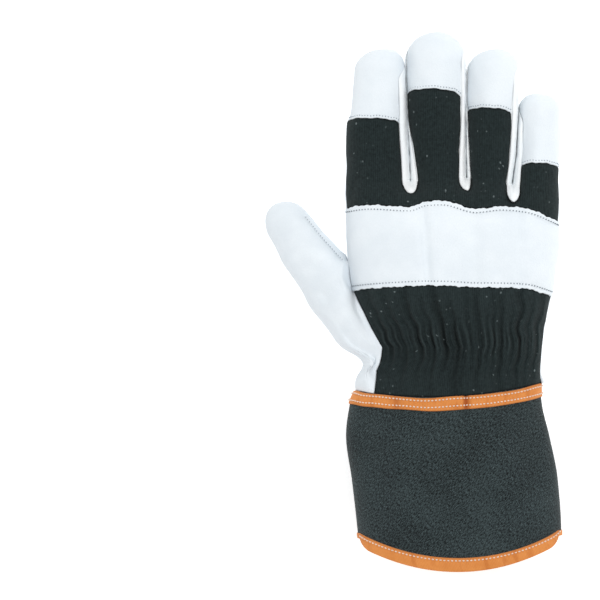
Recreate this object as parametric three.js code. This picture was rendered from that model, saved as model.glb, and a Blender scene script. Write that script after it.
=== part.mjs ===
// Right-hand rigger work glove, lying palm down, filled as if it held a hand.
// Millimetres. +Y runs to the fingertips, -X to the thumb, +Z up from the surface it lies on.
// The origin is on that surface, under the middle of the whole glove.
//
// Every panel is a piece of one skin, cut from the same filled form along its seams.
// A point of the skin has an angle round its section, a distance along Y and a depth under the skin.
import * as THREE from "three";

// Lengths along Y
const HAND_LENGTH = 102; // wrist seam to the seams between the fingers
const CUFF_LENGTH = 84.8; // wrist seam to the lowest point of the hem
const STRAP_SEAT = 55; // wrist seam to the lower edge of the knuckle strap
const STRAP_WIDTH = 40;
const ELASTIC_SEAT = 28; // wrist seam to the row of elastic
const TAB_LENGTH = 27; // palm leather reaching down over the cuff
const WRIST_BAND_WIDTH = TAB_LENGTH / 4;
const HEM_BAND_WIDTH = 6.2;

// Widths and depths of the filled glove
const KNUCKLE_WIDTH = 107.5;
const HAND_DEPTH = 42;
const WRIST_DEPTH = 38;
const CUFF_DEPTH = 44;
const FINGER_LENGTH = 81.5; // middle finger, from the finger seams to its tip
const FINGER_DEPTH = 25;
const THUMB_LENGTH = 46; // crotch of the thumb to its tip
const THUMB_WIDTH = 26;
const THUMB_DEPTH = 25;

// Walls and clearances
const LEATHER = 1.4;
const COTTON = 1.2;
const DENIM = 1.6;
const TAPE = 1.4; // folded binding tape
const STRAP_RISE = 0.8; // the strap stands this far above the cotton
const GAP = 0.3;
const SLIT_HALF = 0.7; // half the space between two filled fingers
const PRESS = 2.4; // how far the underside would sag if the surface did not press it flat

// Curves of the seams that run across the glove
const WRIST_RISE = 1;
const WRIST_SAG = 4.75;
const WRIST_SLANT = 1.75;
const HEM_SAG = 12.25;
const HEM_SLANT = 0.75;

const MIDLINE = 0.512; // share of the knuckle width from the index side to the origin
const SIDE_SEAM = 0.14; // height of the side seams, as a share of the crown height
const PALM_APEX_DROP = 3.5; // the palm's finger seams start this far below those of the back

// Fingers from the index to the little one. length, from the finger seams to the tip, cap, the leather
// tip, and sag, how far its seam rises in its middle, are shares of FINGER_LENGTH, and girth is the
// share of FINGER_DEPTH. lean is how far the tip bends to the right in half widths, and blunt is the
// power that squares it off.
const FINGERS = [
  { name: "index", length: 0.896, cap: 0.432, sag: 0.021, girth: 1.0, lean: 0.28, blunt: 2.8 },
  { name: "middle", length: 1, cap: 0.356, sag: 0.042, girth: 1.04, lean: 0.05, blunt: 2.2 },
  { name: "ring", length: 0.902, cap: 0.374, sag: 0.029, girth: 0.97, lean: 0.12, blunt: 2.2 },
  { name: "little", length: 0.626, cap: 0.436, sag: 0.028, girth: 0.87, lean: -0.16, blunt: 2.8 },
];

// How far each seam beside a sidewall lies from the finger's middle, as a share of half its width.
const FINGER_SEAMS = [
  { backRight: 0.744, palmRight: 0.8 },
  { backLeft: 0.91, backRight: 0.79, palmLeft: 0.8, palmRight: 0.8 },
  { backLeft: 0.85, backRight: 0.74, palmLeft: 0.8, palmRight: 0.8 },
  { backLeft: 0.76, palmLeft: 0.8 },
];

// The three slits between the fingers: how far beyond the finger seams the back's seam starts, as a
// share of HAND_LENGTH, and how far above that the slit opens, as a share of FINGER_DEPTH.
const SLITS = [
  { apex: 0, web: 0.28 },
  { apex: 0.0147, web: 0.28 },
  { apex: -0.0441, web: 0.4 },
];

// Plan of the filled glove. cuff, hand and finger say how far along each length a row lies.
// The other columns are shares of the knuckle width, from the index side.
const PLAN = [
  { cuff: 1, hand: 0, finger: 0, left: 0.07, slit1: 0.34, slit2: 0.55, slit3: 0.77, right: 0.985 },
  { cuff: 0.8, hand: 0, finger: 0, left: 0.058, slit1: 0.335, slit2: 0.55, slit3: 0.77, right: 1.003 },
  { cuff: 0.48, hand: 0, finger: 0, left: 0.03, slit1: 0.32, slit2: 0.54, slit3: 0.76, right: 0.987 },
  { cuff: 0.22, hand: 0, finger: 0, left: 0.003, slit1: 0.31, slit2: 0.535, slit3: 0.75, right: 0.948 },
  { cuff: 0.04, hand: 0, finger: 0, left: 0.02, slit1: 0.3, slit2: 0.53, slit3: 0.74, right: 0.915 },
  { cuff: 0, hand: 0.05, finger: 0, left: 0.05, slit1: 0.3, slit2: 0.535, slit3: 0.735, right: 0.908 },
  { cuff: 0, hand: 0.16, finger: 0, left: 0.079, slit1: 0.302, slit2: 0.537, slit3: 0.738, right: 0.912 },
  { cuff: 0, hand: 0.28, finger: 0, left: 0.055, slit1: 0.305, slit2: 0.54, slit3: 0.745, right: 0.921 },
  { cuff: 0, hand: 0.53, finger: 0, left: 0.033, slit1: 0.32, slit2: 0.56, slit3: 0.78, right: 0.963 },
  { cuff: 0, hand: 0.8, finger: 0, left: 0.006, slit1: 0.31, slit2: 0.567, slit3: 0.78, right: 0.99 },
  { cuff: 0, hand: 1, finger: 0, left: 0.002, slit1: 0.305, slit2: 0.567, slit3: 0.775, right: 0.996 },
  { cuff: 0, hand: 1, finger: 0.27, left: 0.003, slit1: 0.299, slit2: 0.563, slit3: 0.798, right: 1 },
  { cuff: 0, hand: 1, finger: 0.43, left: 0.006, slit1: 0.292, slit2: 0.563, slit3: 0.805, right: 1.005 },
  { cuff: 0, hand: 1, finger: 0.5, left: 0.024, slit1: 0.29, slit2: 0.563, slit3: 0.808, right: 1.005 },
  { cuff: 0, hand: 1, finger: 0.75, left: 0.038, slit1: 0.283, slit2: 0.564, slit3: 0.815, right: 1.005 },
  { cuff: 0, hand: 1, finger: 1, left: 0.06, slit1: 0.279, slit2: 0.565, slit3: 0.823, right: 1.005 },
];

// Depth of the filled glove in shares of the size that it follows, and the radius of its rounded
// sides in shares of the knuckle width. Beyond the web each finger rounds its own sides.
const SECTIONS = [
  { cuff: 1, hand: 0, finger: 0, depth: CUFF_DEPTH * 1.02, side: 0.44 },
  { cuff: 0.5, hand: 0, finger: 0, depth: CUFF_DEPTH, side: 0.44 },
  { cuff: 0.05, hand: 0, finger: 0, depth: WRIST_DEPTH * 1.04, side: 0.42 },
  { cuff: 0, hand: 0.05, finger: 0, depth: WRIST_DEPTH, side: 0.41 },
  { cuff: 0, hand: 0.27, finger: 0, depth: WRIST_DEPTH * 0.96, side: 0.4 },
  { cuff: 0, hand: 0.55, finger: 0, depth: HAND_DEPTH, side: 0.38 },
  { cuff: 0, hand: 0.8, finger: 0, depth: HAND_DEPTH * 0.96, side: 0.35 },
  { cuff: 0, hand: 0.95, finger: 0, depth: HAND_DEPTH * 0.83, side: 0.28 },
  { cuff: 0, hand: 1, finger: 0.1, depth: FINGER_DEPTH * 1.12, side: 0.17 },
  { cuff: 0, hand: 1, finger: 0.25, depth: FINGER_DEPTH, side: 0.13 },
  { cuff: 0, hand: 1, finger: 1, depth: FINGER_DEPTH * 0.94, side: 0.1 },
];

// Rise of the strap's edges over their seats, in shares of the strap's width.
// at is the share across the knuckles from the index side.
const STRAP_EDGES = [
  { at: 0, lower: -0.04, upper: -0.012 },
  { at: 0.12, lower: 0, upper: 0.025 },
  { at: 0.3, lower: 0.03, upper: 0 },
  { at: 0.38, lower: 0.037, upper: 0.068 },
  { at: 0.45, lower: 0.035, upper: 0.075 },
  { at: 0.6, lower: 0.015, upper: -0.02 },
  { at: 0.72, lower: 0.012, upper: 0.012 },
  { at: 0.82, lower: 0, upper: -0.012 },
  { at: 1, lower: -0.14, upper: -0.19 },
];

// Seams of the thumb: how far each lies inside the hand's index-side outline, in shares of the
// knuckle width, at shares of the hand's length.
const THUMB_CROTCH = 0.667;
const THUMB_BACK_SEAM = [
  { at: 0, in: 0.095 },
  { at: 0.137, in: 0.066 },
  { at: 0.25, in: 0.108 },
  { at: 0.456, in: 0.025 },
  { at: 0.52, in: 0.003 },
  { at: 1, in: 0.003 },
];
const THUMB_PALM_SEAM = [
  { at: 0, in: 0.1 },
  { at: 0.3, in: 0.12 },
  { at: 0.52, in: 0.09 },
  { at: 0.62, in: 0.05 },
];

// Sections of the thumb from its root to where the tip starts. out and up place the middle from the
// crotch in shares of its length. turn is the way it points, in degrees from -X towards +Y.
const THUMB_SECTIONS = [
  { at: 0, out: 0.204, up: -0.326, width: 1.27, depth: 1.22, turn: 22 },
  { at: 1, out: 0.31, up: -0.103, width: 1.1, depth: 1.1, turn: 44 },
  { at: 2, out: 0.505, up: 0.158, width: 0.99, depth: 1.0, turn: 50 },
  { at: 3, out: 0.641, up: 0.37, width: 0.88, depth: 0.9, turn: 54 },
];
const THUMB_TIP = 0.5; // length of the rounded tip, in shares of the thumb's width

// Where the seams of the thumb's root lie round its first section, in degrees from the side that
// faces the fingers, over the back.
const WRIST_SWEEP = 0.15; // how much further the leather runs on towards the fingers at the wrist
const ROOT_TURNS = { backWrist: 140, backCrotch: 28, palmCrotch: -28, palmWrist: -135 };

// Folds pressed into the knuckle strap and the cotton above it, in shares of the knuckle width
// and of the hand's depth.
const STRAP_FOLDS = [
  { at: 0.355, lean: 0.03, width: 0.022, depth: 0.036 },
  { at: 0.815, lean: 0.0, width: 0.018, depth: 0.026 },
  { at: 0.6, lean: 0.0, width: 0.03, depth: 0.014 },
];

// Creases in the leather over the thumb and in the cuff. The ends are in shares of the knuckle width
// from the index side, and of the hand's length from the wrist seam.
const CREASE_WIDTH = 3.2;
const CREASE_DEPTH = 2.2;
const THUMB_CREASES = [
  { fromX: -0.01, fromY: 0.56, toX: -0.11, toY: 0.49, width: 1.1, depth: 0.6 },
  { fromX: 0.03, fromY: 0.47, toX: 0.1, toY: 0.28, width: 1.1, depth: 0.7 },
  { fromX: 0.06, fromY: 0.17, toX: 0.0, toY: 0.21, width: 1.1, depth: 0.5 },
];
const CUFF_CREASES = [
  { fromX: 0.07, fromY: -0.12, toX: 0.2, toY: -0.55, width: 2.2, depth: 0.6 },
  { fromX: 0.36, fromY: -0.1, toX: 0.42, toY: -0.6, width: 3.0, depth: 0.5 },
  { fromX: 0.66, fromY: -0.12, toX: 0.62, toY: -0.5, width: 2.4, depth: 0.6 },
  { fromX: 0.87, fromY: -0.1, toX: 0.9, toY: -0.45, width: 2.0, depth: 0.6 },
];

// Gathers drawn up by the elastic: share across the lower back, and depth and width in shares of
// GATHER_DEPTH and of the space between two gathers.
const GATHER_DEPTH = 2.0;
const GATHERS = [
  { at: 0.07, depth: 0.7, width: 0.8 },
  { at: 0.15, depth: 0.9, width: 0.7 },
  { at: 0.225, depth: 0.8, width: 0.7 },
  { at: 0.3, depth: 1.1, width: 0.8 },
  { at: 0.375, depth: 0.7, width: 0.7 },
  { at: 0.44, depth: 1.0, width: 0.7 },
  { at: 0.515, depth: 1.2, width: 0.85 },
  { at: 0.595, depth: 0.8, width: 0.7 },
  { at: 0.665, depth: 0.9, width: 0.7 },
  { at: 0.74, depth: 1.1, width: 0.8 },
  { at: 0.815, depth: 0.7, width: 0.7 },
  { at: 0.885, depth: 0.9, width: 0.7 },
  { at: 0.95, depth: 0.6, width: 0.7 },
];

// How finely the panels are divided. Rows are shares of the length that a panel has there.
const STRIP_COLUMNS = 5;
const INDEX_COLUMNS = 6;
const LITTLE_COLUMNS = { wrap: 4, palm: 3 };
const GATHER_COLUMNS = 44;
const WALL_COLUMNS = 3;
const WRIST_SIDE_COLUMNS = 4;
const TONGUE_ROWS = [0, 0.04, 0.11, 0.23, 0.44, 0.72, 1]; // finger seam to the tip's seam
const CAP_ROWS = [0, 0.3, 0.58, 0.8, 0.94, 1]; // tip's seam to the tip
const WALL_TOP = TONGUE_ROWS.length + 2; // the row at which the sidewalls end
const ROOT_ROWS = [0, 0.12, 0.28, 0.46, 0.64, 0.82];
const THUMB_ROWS = [0, 0.5, 1, 1.5, 2, 2.5, 3];
const THUMB_TIP_ROWS = [0.3, 0.58, 0.82, 1];
const HAND_ROWS = [0, 0.07, 0.13, 0.25, 0.38, 0.5, 0.58, 0.63, THUMB_CROTCH, 0.75, 0.87, 1];
const CROTCH_FROM = 0.58; // the palm's edge starts to turn up the side here
const GATHER_ROWS = [0, 0.17, 0.34, 0.5, 0.64, 0.81, 1];
const TAB_ROWS = [0, 0.125, 0.25, 0.5, 0.75, 0.92, 1];

const toRadians = THREE.MathUtils.degToRad;
const QUARTER = Math.PI / 2;
const TURN = Math.PI * 2;
const clamp01 = (t) => Math.min(1, Math.max(0, t));
const lerp = (a, b, t) => a + (b - a) * t;
const NEARLY_NONE = 1e-12;
const EDGE = QUARTER - 1e-9; // a strip's edge, on its palm side
const underneath = (lean) => Math.PI + Math.min(EDGE, Math.max(-EDGE, lean));
const smooth = (t) => clamp01(t) ** 2 * (3 - 2 * clamp01(t));
const round = (t) => Math.sqrt(1 - (1 - clamp01(t)) ** 2); // quarter circle from 0 to 1
const bell = (t) => Math.exp(-(t ** 2));
const steps = (count) => Array.from({ length: count + 1 }, (_, n) => n / count);
const indices = (count) => Array.from({ length: count }, (_, n) => n);

// Straight lines through the rows of a table.
function linear(rows, key, column, t) {
  const next = rows.findIndex((row) => row[key] > t);
  if (next === 0) return rows[0][column];
  if (next < 0) return rows[rows.length - 1][column];
  const a = rows[next - 1];
  const b = rows[next];
  return lerp(a[column], b[column], (t - a[key]) / (b[key] - a[key]));
}

// Smooth curve through the rows of a table that never overshoots them.
function curve(rows, key, column, t) {
  const last = rows.length - 1;
  if (t <= rows[0][key]) return rows[0][column];
  if (t >= rows[last][key]) return rows[last][column];
  const n = rows.findIndex((row) => row[key] > t) - 1;
  const rise = (k) => (rows[k + 1][column] - rows[k][column]) / (rows[k + 1][key] - rows[k][key]);
  const slope = (k) => {
    if (k === 0) return rise(0);
    if (k === last) return rise(last - 1);
    const before = rise(k - 1);
    const after = rise(k);
    return before * after <= 0 ? 0 : (2 * before * after) / (before + after);
  };
  const step = rows[n + 1][key] - rows[n][key];
  const s = (t - rows[n][key]) / step;
  const flat = lerp(rows[n][column], rows[n + 1][column], s * s * (3 - 2 * s));
  return flat + step * s * (1 - s) * ((1 - s) * slope(n) - s * slope(n + 1));
}

const along = (row) => row.hand * HAND_LENGTH + row.finger * FINGER_LENGTH - row.cuff * CUFF_LENGTH;
const plan = PLAN.map((row) => ({ ...row, y: along(row) })).sort((a, b) => a.y - b.y);
const sections = SECTIONS.map((row) => ({ ...row, y: along(row) })).sort((a, b) => a.y - b.y);
const border = (column, y) => (curve(plan, "y", column, y) - MIDLINE) * KNUCKLE_WIDTH;
const BORDERS = ["left", "slit1", "slit2", "slit3", "right"];
const WHOLE = -1; // the hand or cuff as one section, instead of the strip below one finger
const LAST = FINGERS.length - 1;

// The palm's tab and the tape round the wrist lie over the cuff, so the cuff is lifted by them.
const COVER = GAP + LEATHER;
const LIFT_RUN = 6; // length over which the palm steps from the hand to the cuff
const wristHigh = WRIST_RISE + WRIST_SAG + WRIST_SLANT;
const overCuff = (y) => 1 - smooth((y - wristHigh) / LIFT_RUN);
const floorAt = (y) => COVER * overCuff(y);

const slitApex = (k) => HAND_LENGTH * (1 + SLITS[k].apex);
const palmApex = (k) => slitApex(k) - PALM_APEX_DROP;
const slitCentre = (k) => slitApex(k) + SLITS[k].web * FINGER_DEPTH + SLIT_HALF; // middle of the slit's round end
const fingerTip = (i) => HAND_LENGTH + FINGERS[i].length * FINGER_LENGTH;
const lastCentre = Math.max(...SLITS.map((_, k) => slitCentre(k)));

// Half the opening of slit k at y.
function slitHalf(k, y, inset) {
  const open = SLIT_HALF + inset;
  return Math.sqrt(Math.max(0, open ** 2 - Math.max(0, slitCentre(k) - y) ** 2));
}

// Middle and half width of a strip at y.
function stripEdges(strip, y, inset) {
  const atLeft = strip <= 0;
  const atRight = strip === WHOLE || strip === LAST;
  const left = atLeft ? border("left", y) + inset : border(BORDERS[strip], y) + slitHalf(strip - 1, y, inset);
  const right = atRight ? border("right", y) - inset : border(BORDERS[strip + 1], y) - slitHalf(strip, y, inset);
  return { middle: (left + right) / 2, half: (right - left) / 2 };
}

// How far the sides of the section have risen at x: 0 at an edge, 1 over the flat of the back.
function roundedSides(strip, x, y, inset) {
  const side = curve(sections, "y", "side", y) * KNUCKLE_WIDTH - inset;
  let share = round((x - border("left", y) - inset) / side) * round((border("right", y) - x - inset) / side);
  indices(SLITS.length).forEach((k) => {
    const centre = slitCentre(k);
    const past = Math.max(y, centre);
    const off = Math.hypot(x - border(BORDERS[k + 1], past), Math.min(y, centre) - centre) - SLIT_HALF - inset;
    const shared = (stripEdges(k, centre, 0).half + stripEdges(k + 1, centre, 0).half) / 2;
    const own = strip === WHOLE ? shared : stripEdges(strip, y, 0).half;
    share *= round(off / (lerp(shared, own, smooth((y - centre) / FINGER_DEPTH)) - inset));
  });
  return share;
}

// Rounding of a fingertip: how much of its section is left at y, how far that leans to the right in
// half widths, and where a deeper skin lies.
function tipRounding(strip, y, inset) {
  if (strip === WHOLE) return { share: 1, lean: 0, y };
  const tip = fingerTip(strip);
  const reach = stripEdges(strip, tip, 0).half;
  const t = clamp01((y - (tip - reach)) / reach);
  const share = Math.sqrt(1 - t ** FINGERS[strip].blunt);
  return { share, lean: FINGERS[strip].lean * (1 - share), y: y - t * inset };
}

// A point of the filled glove's skin. psi turns from -90 degrees at the left edge over the back to
// 90 at the right edge, and on under the palm to 270. inset is the depth under the skin.
function skin(strip, psi, rowY, inset = 0, relief = () => 0) {
  const tip = tipRounding(strip, rowY, inset);
  const edges = stripEdges(strip, tip.y, inset);
  const flatX = edges.middle + edges.half * Math.sin(psi);
  const x = edges.middle + edges.half * (Math.sin(psi) * tip.share + tip.lean);
  const risen = roundedSides(strip, flatX, tip.y, inset) * tip.share;
  const girth = strip === WHOLE ? 1 : lerp(1, FINGERS[strip].girth, smooth((tip.y - lastCentre) / FINGER_DEPTH));
  const depth = curve(sections, "y", "depth", tip.y) * girth;
  const floor = floorAt(tip.y);
  const middle = floor + depth / 2;
  const crown = depth / 2 - inset;
  const above = middle + (crown + relief(flatX, tip.y)) * risen;
  const below = Math.max(floor + inset, middle - (crown + PRESS) * risen);
  return new THREE.Vector3(x, tip.y, Math.cos(psi) > -NEARLY_NONE ? above : below);
}

// Follows a seam or row: psiAt gives the angle at y, and lineAt the y at x.
function settle(strip, psiAt, lineAt) {
  let y = lineAt(0);
  indices(6).forEach(() => {
    const edges = stripEdges(strip, y, 0);
    y = lineAt(edges.middle + edges.half * Math.sin(psiAt(y)));
  });
  return { psi: psiAt(y), y };
}

// Angle of the side seam, on the back, at a strip's outer edge.
function sideSeam(strip, y) {
  const width = curve(sections, "y", "side", y) * KNUCKLE_WIDTH * (1 - Math.sqrt(1 - SIDE_SEAM ** 2));
  return Math.asin(clamp01(1 - width / stripEdges(strip, y, 0).half));
}

// Row r up finger i from the finger seam at `apex`. sine is the place across the finger.
function fingerRow(i, apex, sine, r) {
  const cap = fingerTip(i) - (FINGERS[i].cap + FINGERS[i].sag * sine ** 2) * FINGER_LENGTH;
  if (r < TONGUE_ROWS.length) return lerp(apex, cap, TONGUE_ROWS[r]);
  return lerp(cap, fingerTip(i), CAP_ROWS[r - TONGUE_ROWS.length + 1]);
}
const ALL_ROWS = indices(TONGUE_ROWS.length + CAP_ROWS.length - 1);
const CAP_START = TONGUE_ROWS.length - 1;
const wallEnd = (i) => fingerRow(i, HAND_LENGTH, 1, WALL_TOP);

// Angle of the seam between finger i and its sidewall. side is -1 left or 1 right.
const SEAM_ROUND = 6; // length over which a sidewall reaches its full width
function wallSeam(i, side, palmSide, y) {
  const k = side < 0 ? i - 1 : i;
  const apex = palmSide ? palmApex(k) : slitApex(k);
  const share = FINGER_SEAMS[i][(palmSide ? "palm" : "back") + (side < 0 ? "Left" : "Right")];
  const closing = smooth((wallEnd(i) - y) / (SEAM_ROUND * 1.5));
  return Math.asin(1 - (1 - share) * round((y - apex) / SEAM_ROUND) * closing);
}

// Edges of finger i's back: its side seam or its sidewalls.
const backEdge = (i, side, y) => ((side < 0 ? i === 0 : i === LAST) ? sideSeam(i, y) : wallSeam(i, side, false, y));
const slitLeft = (i) => Math.max(0, i - 1);
const slitRight = (i) => Math.min(SLITS.length - 1, i);
const backApex = (i, u) => lerp(slitApex(slitLeft(i)), slitApex(slitRight(i)), u);
const frontApex = (i, u) => lerp(palmApex(slitRight(i)), palmApex(slitLeft(i)), u);

// Lines across the glove. across runs from -1 to 1 between the hand's edges.
function acrossAt(x, y) {
  const edges = stripEdges(WHOLE, y, 0);
  return Math.min(1, Math.max(-1, (x - edges.middle) / edges.half));
}
function wristLine(x) {
  const across = acrossAt(x, 0);
  return WRIST_RISE + WRIST_SAG * across ** 2 + WRIST_SLANT * across;
}
function hemLine(x) {
  const across = acrossAt(x, -CUFF_LENGTH);
  return -CUFF_LENGTH + HEM_SAG * across ** 2 + HEM_SLANT * across;
}
const shareAcross = (x) => x / KNUCKLE_WIDTH + MIDLINE;
const strapLower = (x) => STRAP_SEAT + STRAP_WIDTH * curve(STRAP_EDGES, "at", "lower", shareAcross(x));
const strapUpper = (x) => STRAP_SEAT + STRAP_WIDTH * (1 + curve(STRAP_EDGES, "at", "upper", shareAcross(x)));

// Collects patches of paired outer and inner points into one closed solid. Corners that meet are
// shared, free edges are drawn back by half a gap, and each gets a wall from the outer to the inner skin.
const MERGE = 0.002; // points closer than this are one corner
class Panel {
  constructor() {
    this.pairs = [];
    this.faces = [];
    this.known = new Map();
  }

  pair(outer, inner) {
    const key = outer.toArray().map((value) => Math.round(value / MERGE + 0.3141)).join();
    if (!this.known.has(key)) {
      this.known.set(key, this.pairs.length);
      this.pairs.push([outer, inner]);
    }
    return this.known.get(key);
  }

  // point(u, v) gives [outer, inner]. u runs right and v up, as seen from outside.
  patch(us, vs, point) {
    const rows = vs.map((v) => us.map((u) => this.pair(...point(u, v))));
    rows.slice(1).forEach((upper, r) => {
      const lower = rows[r];
      upper.slice(1).forEach((_, c) => {
        this.face(lower[c], lower[c + 1], upper[c + 1]);
        this.face(lower[c], upper[c + 1], upper[c]);
      });
    });
    return this;
  }

  face(a, b, c) {
    if (a !== b && b !== c && c !== a) this.faces.push([a, b, c]);
  }

  // Edges that only one face has, in the direction in which that face runs round them.
  freeEdges() {
    const edges = new Map();
    this.faces.forEach(([a, b, c]) => {
      const out = (n) => this.pairs[n][0];
      const normal = out(b).clone().sub(out(a)).cross(out(c).clone().sub(out(a))).normalize();
      [[a, b], [b, c], [c, a]].forEach(([from, to]) => {
        if (edges.has(`${to},${from}`)) {
          edges.delete(`${to},${from}`);
          return;
        }
        const inward = normal.clone().cross(out(to).clone().sub(out(from))).normalize();
        edges.set(`${from},${to}`, { from, to, inward });
      });
    });
    return [...edges.values()];
  }

  geometry() {
    const edges = this.freeEdges();
    const drawn = new Map();
    edges.forEach(({ from, to, inward }) => {
      [from, to].forEach((n) => drawn.set(n, (drawn.get(n) ?? new THREE.Vector3()).add(inward)));
    });
    drawn.forEach((sum, n) => {
      // Both neighbouring edges move by half a gap, unless their corner is very sharp.
      const reach = Math.min((GAP / 2) * (2 / Math.max(sum.lengthSq(), 0.01)), GAP * 2 / Math.max(sum.length(), 0.01));
      this.pairs[n].forEach((point, layer) => {
        this.pairs[n][layer] = point.clone().addScaledVector(sum, reach);
      });
    });
    const index = [];
    this.faces.forEach(([a, b, c]) => index.push(2 * a, 2 * b, 2 * c, 2 * a + 1, 2 * c + 1, 2 * b + 1));
    // A wall's diagonal runs the same way on both sides of a seam, from the corner nearer the wrist.
    const rank = (n) => this.pairs[n][0].y + this.pairs[n][0].x / 3;
    edges.forEach(({ from, to }) => {
      if (rank(from) < rank(to)) index.push(2 * from, 2 * from + 1, 2 * to + 1, 2 * from, 2 * to + 1, 2 * to);
      else index.push(2 * from, 2 * from + 1, 2 * to, 2 * from + 1, 2 * to + 1, 2 * to);
    });
    const geometry = new THREE.BufferGeometry().setFromPoints(this.pairs.flat());
    geometry.setIndex(index);
    geometry.computeVertexNormals();
    return geometry;
  }
}

const leather = new THREE.MeshStandardMaterial({ name: "leather", color: 0xe9eef2, roughness: 0.62, metalness: 0 });
const cotton = new THREE.MeshStandardMaterial({ name: "cotton", color: 0x1e2727, roughness: 0.95, metalness: 0 });
const denim = new THREE.MeshStandardMaterial({ name: "denim", color: 0x283233, roughness: 0.95, metalness: 0 });
const tape = new THREE.MeshStandardMaterial({ name: "tape", color: 0xd27a32, roughness: 0.7, metalness: 0 });

const glove = new THREE.Group();
function add(name, panel, material) {
  const mesh = new THREE.Mesh(panel.geometry(), material);
  mesh.name = name;
  glove.add(mesh);
}

const wallOf = (strip, psi, y, depths, relief) => depths.map((inset) => skin(strip, psi, y, inset, relief));

// Valleys that the gaps between the knuckles press into the strap and the cotton above it.
function strapRelief(x, y) {
  const up = (y - STRAP_SEAT) / STRAP_WIDTH;
  const fade = smooth((up + 0.3) / 0.4) * (1 - smooth((up - 1) / 0.4));
  return STRAP_FOLDS.reduce((sum, fold) => {
    const off = (shareAcross(x) - fold.at - fold.lean * (1 - up)) / fold.width;
    return sum - fold.depth * HAND_DEPTH * fade * bell(off);
  }, 0);
}

// Height of a table of creases at a point in plan.
function creaseRelief(table, x, y) {
  return table.reduce((sum, crease) => {
    const fromX = (crease.fromX - MIDLINE) * KNUCKLE_WIDTH;
    const toX = (crease.toX - MIDLINE) * KNUCKLE_WIDTH;
    const fromY = crease.fromY * HAND_LENGTH;
    const toY = crease.toY * HAND_LENGTH;
    const length = Math.hypot(toX - fromX, toY - fromY);
    const run = ((x - fromX) * (toX - fromX) + (y - fromY) * (toY - fromY)) / length ** 2;
    const off = ((x - fromX) * (toY - fromY) - (y - fromY) * (toX - fromX)) / length;
    const ends = smooth((0.5 - Math.abs(run - 0.5)) * 4 + 0.5);
    return sum - CREASE_DEPTH * crease.depth * ends * bell(off / (CREASE_WIDTH * crease.width));
  }, 0);
}

// Seams of the thumb in plan, and the angle at which they lie.
const thumbSeamX = (table, y) => border("left", y) + KNUCKLE_WIDTH * linear(table, "at", "in", y / HAND_LENGTH);
function leanAt(strip, x, y) {
  const edges = stripEdges(strip, y, 0);
  return Math.asin(Math.min(1, Math.max(-1, (x - edges.middle) / edges.half)));
}

// The angle in the whole section of a point whose angle in a strip is psi.
function wholeAngle(strip, psi, y) {
  const lean = leanAt(WHOLE, skin(strip, psi, y).x, y);
  return Math.cos(psi) > 0 ? lean : Math.PI - lean;
}

// Folds of the lower back, deepest at the elastic and fading towards the strap and the wrist.
function gatherRelief(x, y) {
  const edges = stripEdges(WHOLE, y, 0);
  const left = thumbSeamX(THUMB_BACK_SEAM, y);
  const share = (x - left) / (edges.middle + edges.half - left);
  const above = (y - ELASTIC_SEAT) / (STRAP_SEAT - ELASTIC_SEAT);
  const fade = 1 - 0.85 * smooth(above) - 0.7 * smooth((ELASTIC_SEAT - y) / ELASTIC_SEAT);
  return GATHERS.reduce((sum, fold) => {
    const off = ((share - fold.at) * GATHERS.length * 2) / fold.width;
    return sum - GATHER_DEPTH * fold.depth * fade * bell(off);
  }, 0);
}

// Upper back: one piece of cotton with a tongue along each finger, up to its leather tip.
function backUpper() {
  const panel = new Panel();
  indices(FINGERS.length).forEach((i) => {
    const left = (y) => (i === 0 ? -sideSeam(0, y) : -QUARTER);
    const right = (y) => (i === LAST ? sideSeam(LAST, y) : QUARTER);
    panel.patch(steps(STRIP_COLUMNS), steps(2), (u, v) => {
      const { psi, y } = settle(i, (at) => lerp(left(at), right(at), u), (x) => lerp(strapUpper(x), backApex(i, u), v));
      return wallOf(i, psi, y, [0, COTTON], strapRelief);
    });
    panel.patch(steps(STRIP_COLUMNS), ALL_ROWS.slice(0, CAP_START + 1), (u, r) => {
      const y = fingerRow(i, backApex(i, u), 2 * u - 1, r);
      const psi = lerp(r ? -backEdge(i, -1, y) : left(y), r ? backEdge(i, 1, y) : right(y), u);
      return wallOf(i, psi, y, [0, COTTON], strapRelief);
    });
  });
  return panel;
}

// Leather cap over the back of finger i.
function fingertip(i) {
  return new Panel().patch(steps(STRIP_COLUMNS), ALL_ROWS.slice(CAP_START), (u, r) => {
    const y = fingerRow(i, HAND_LENGTH, 2 * u - 1, r);
    return wallOf(i, lerp(-backEdge(i, -1, y), backEdge(i, 1, y), u), y, [0, LEATHER]);
  });
}

// Leather over the front of a middle finger, from the palm's seam to the tip.
function fingerFront(i) {
  return new Panel().patch(steps(STRIP_COLUMNS), ALL_ROWS, (u, r) => {
    const y = fingerRow(i, frontApex(i, u), 1, r);
    const right = r ? wallSeam(i, 1, true, y) : QUARTER;
    const left = r ? wallSeam(i, -1, true, y) : QUARTER;
    return wallOf(i, underneath(lerp(-right, left, u)), y, [0, LEATHER]);
  });
}

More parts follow.
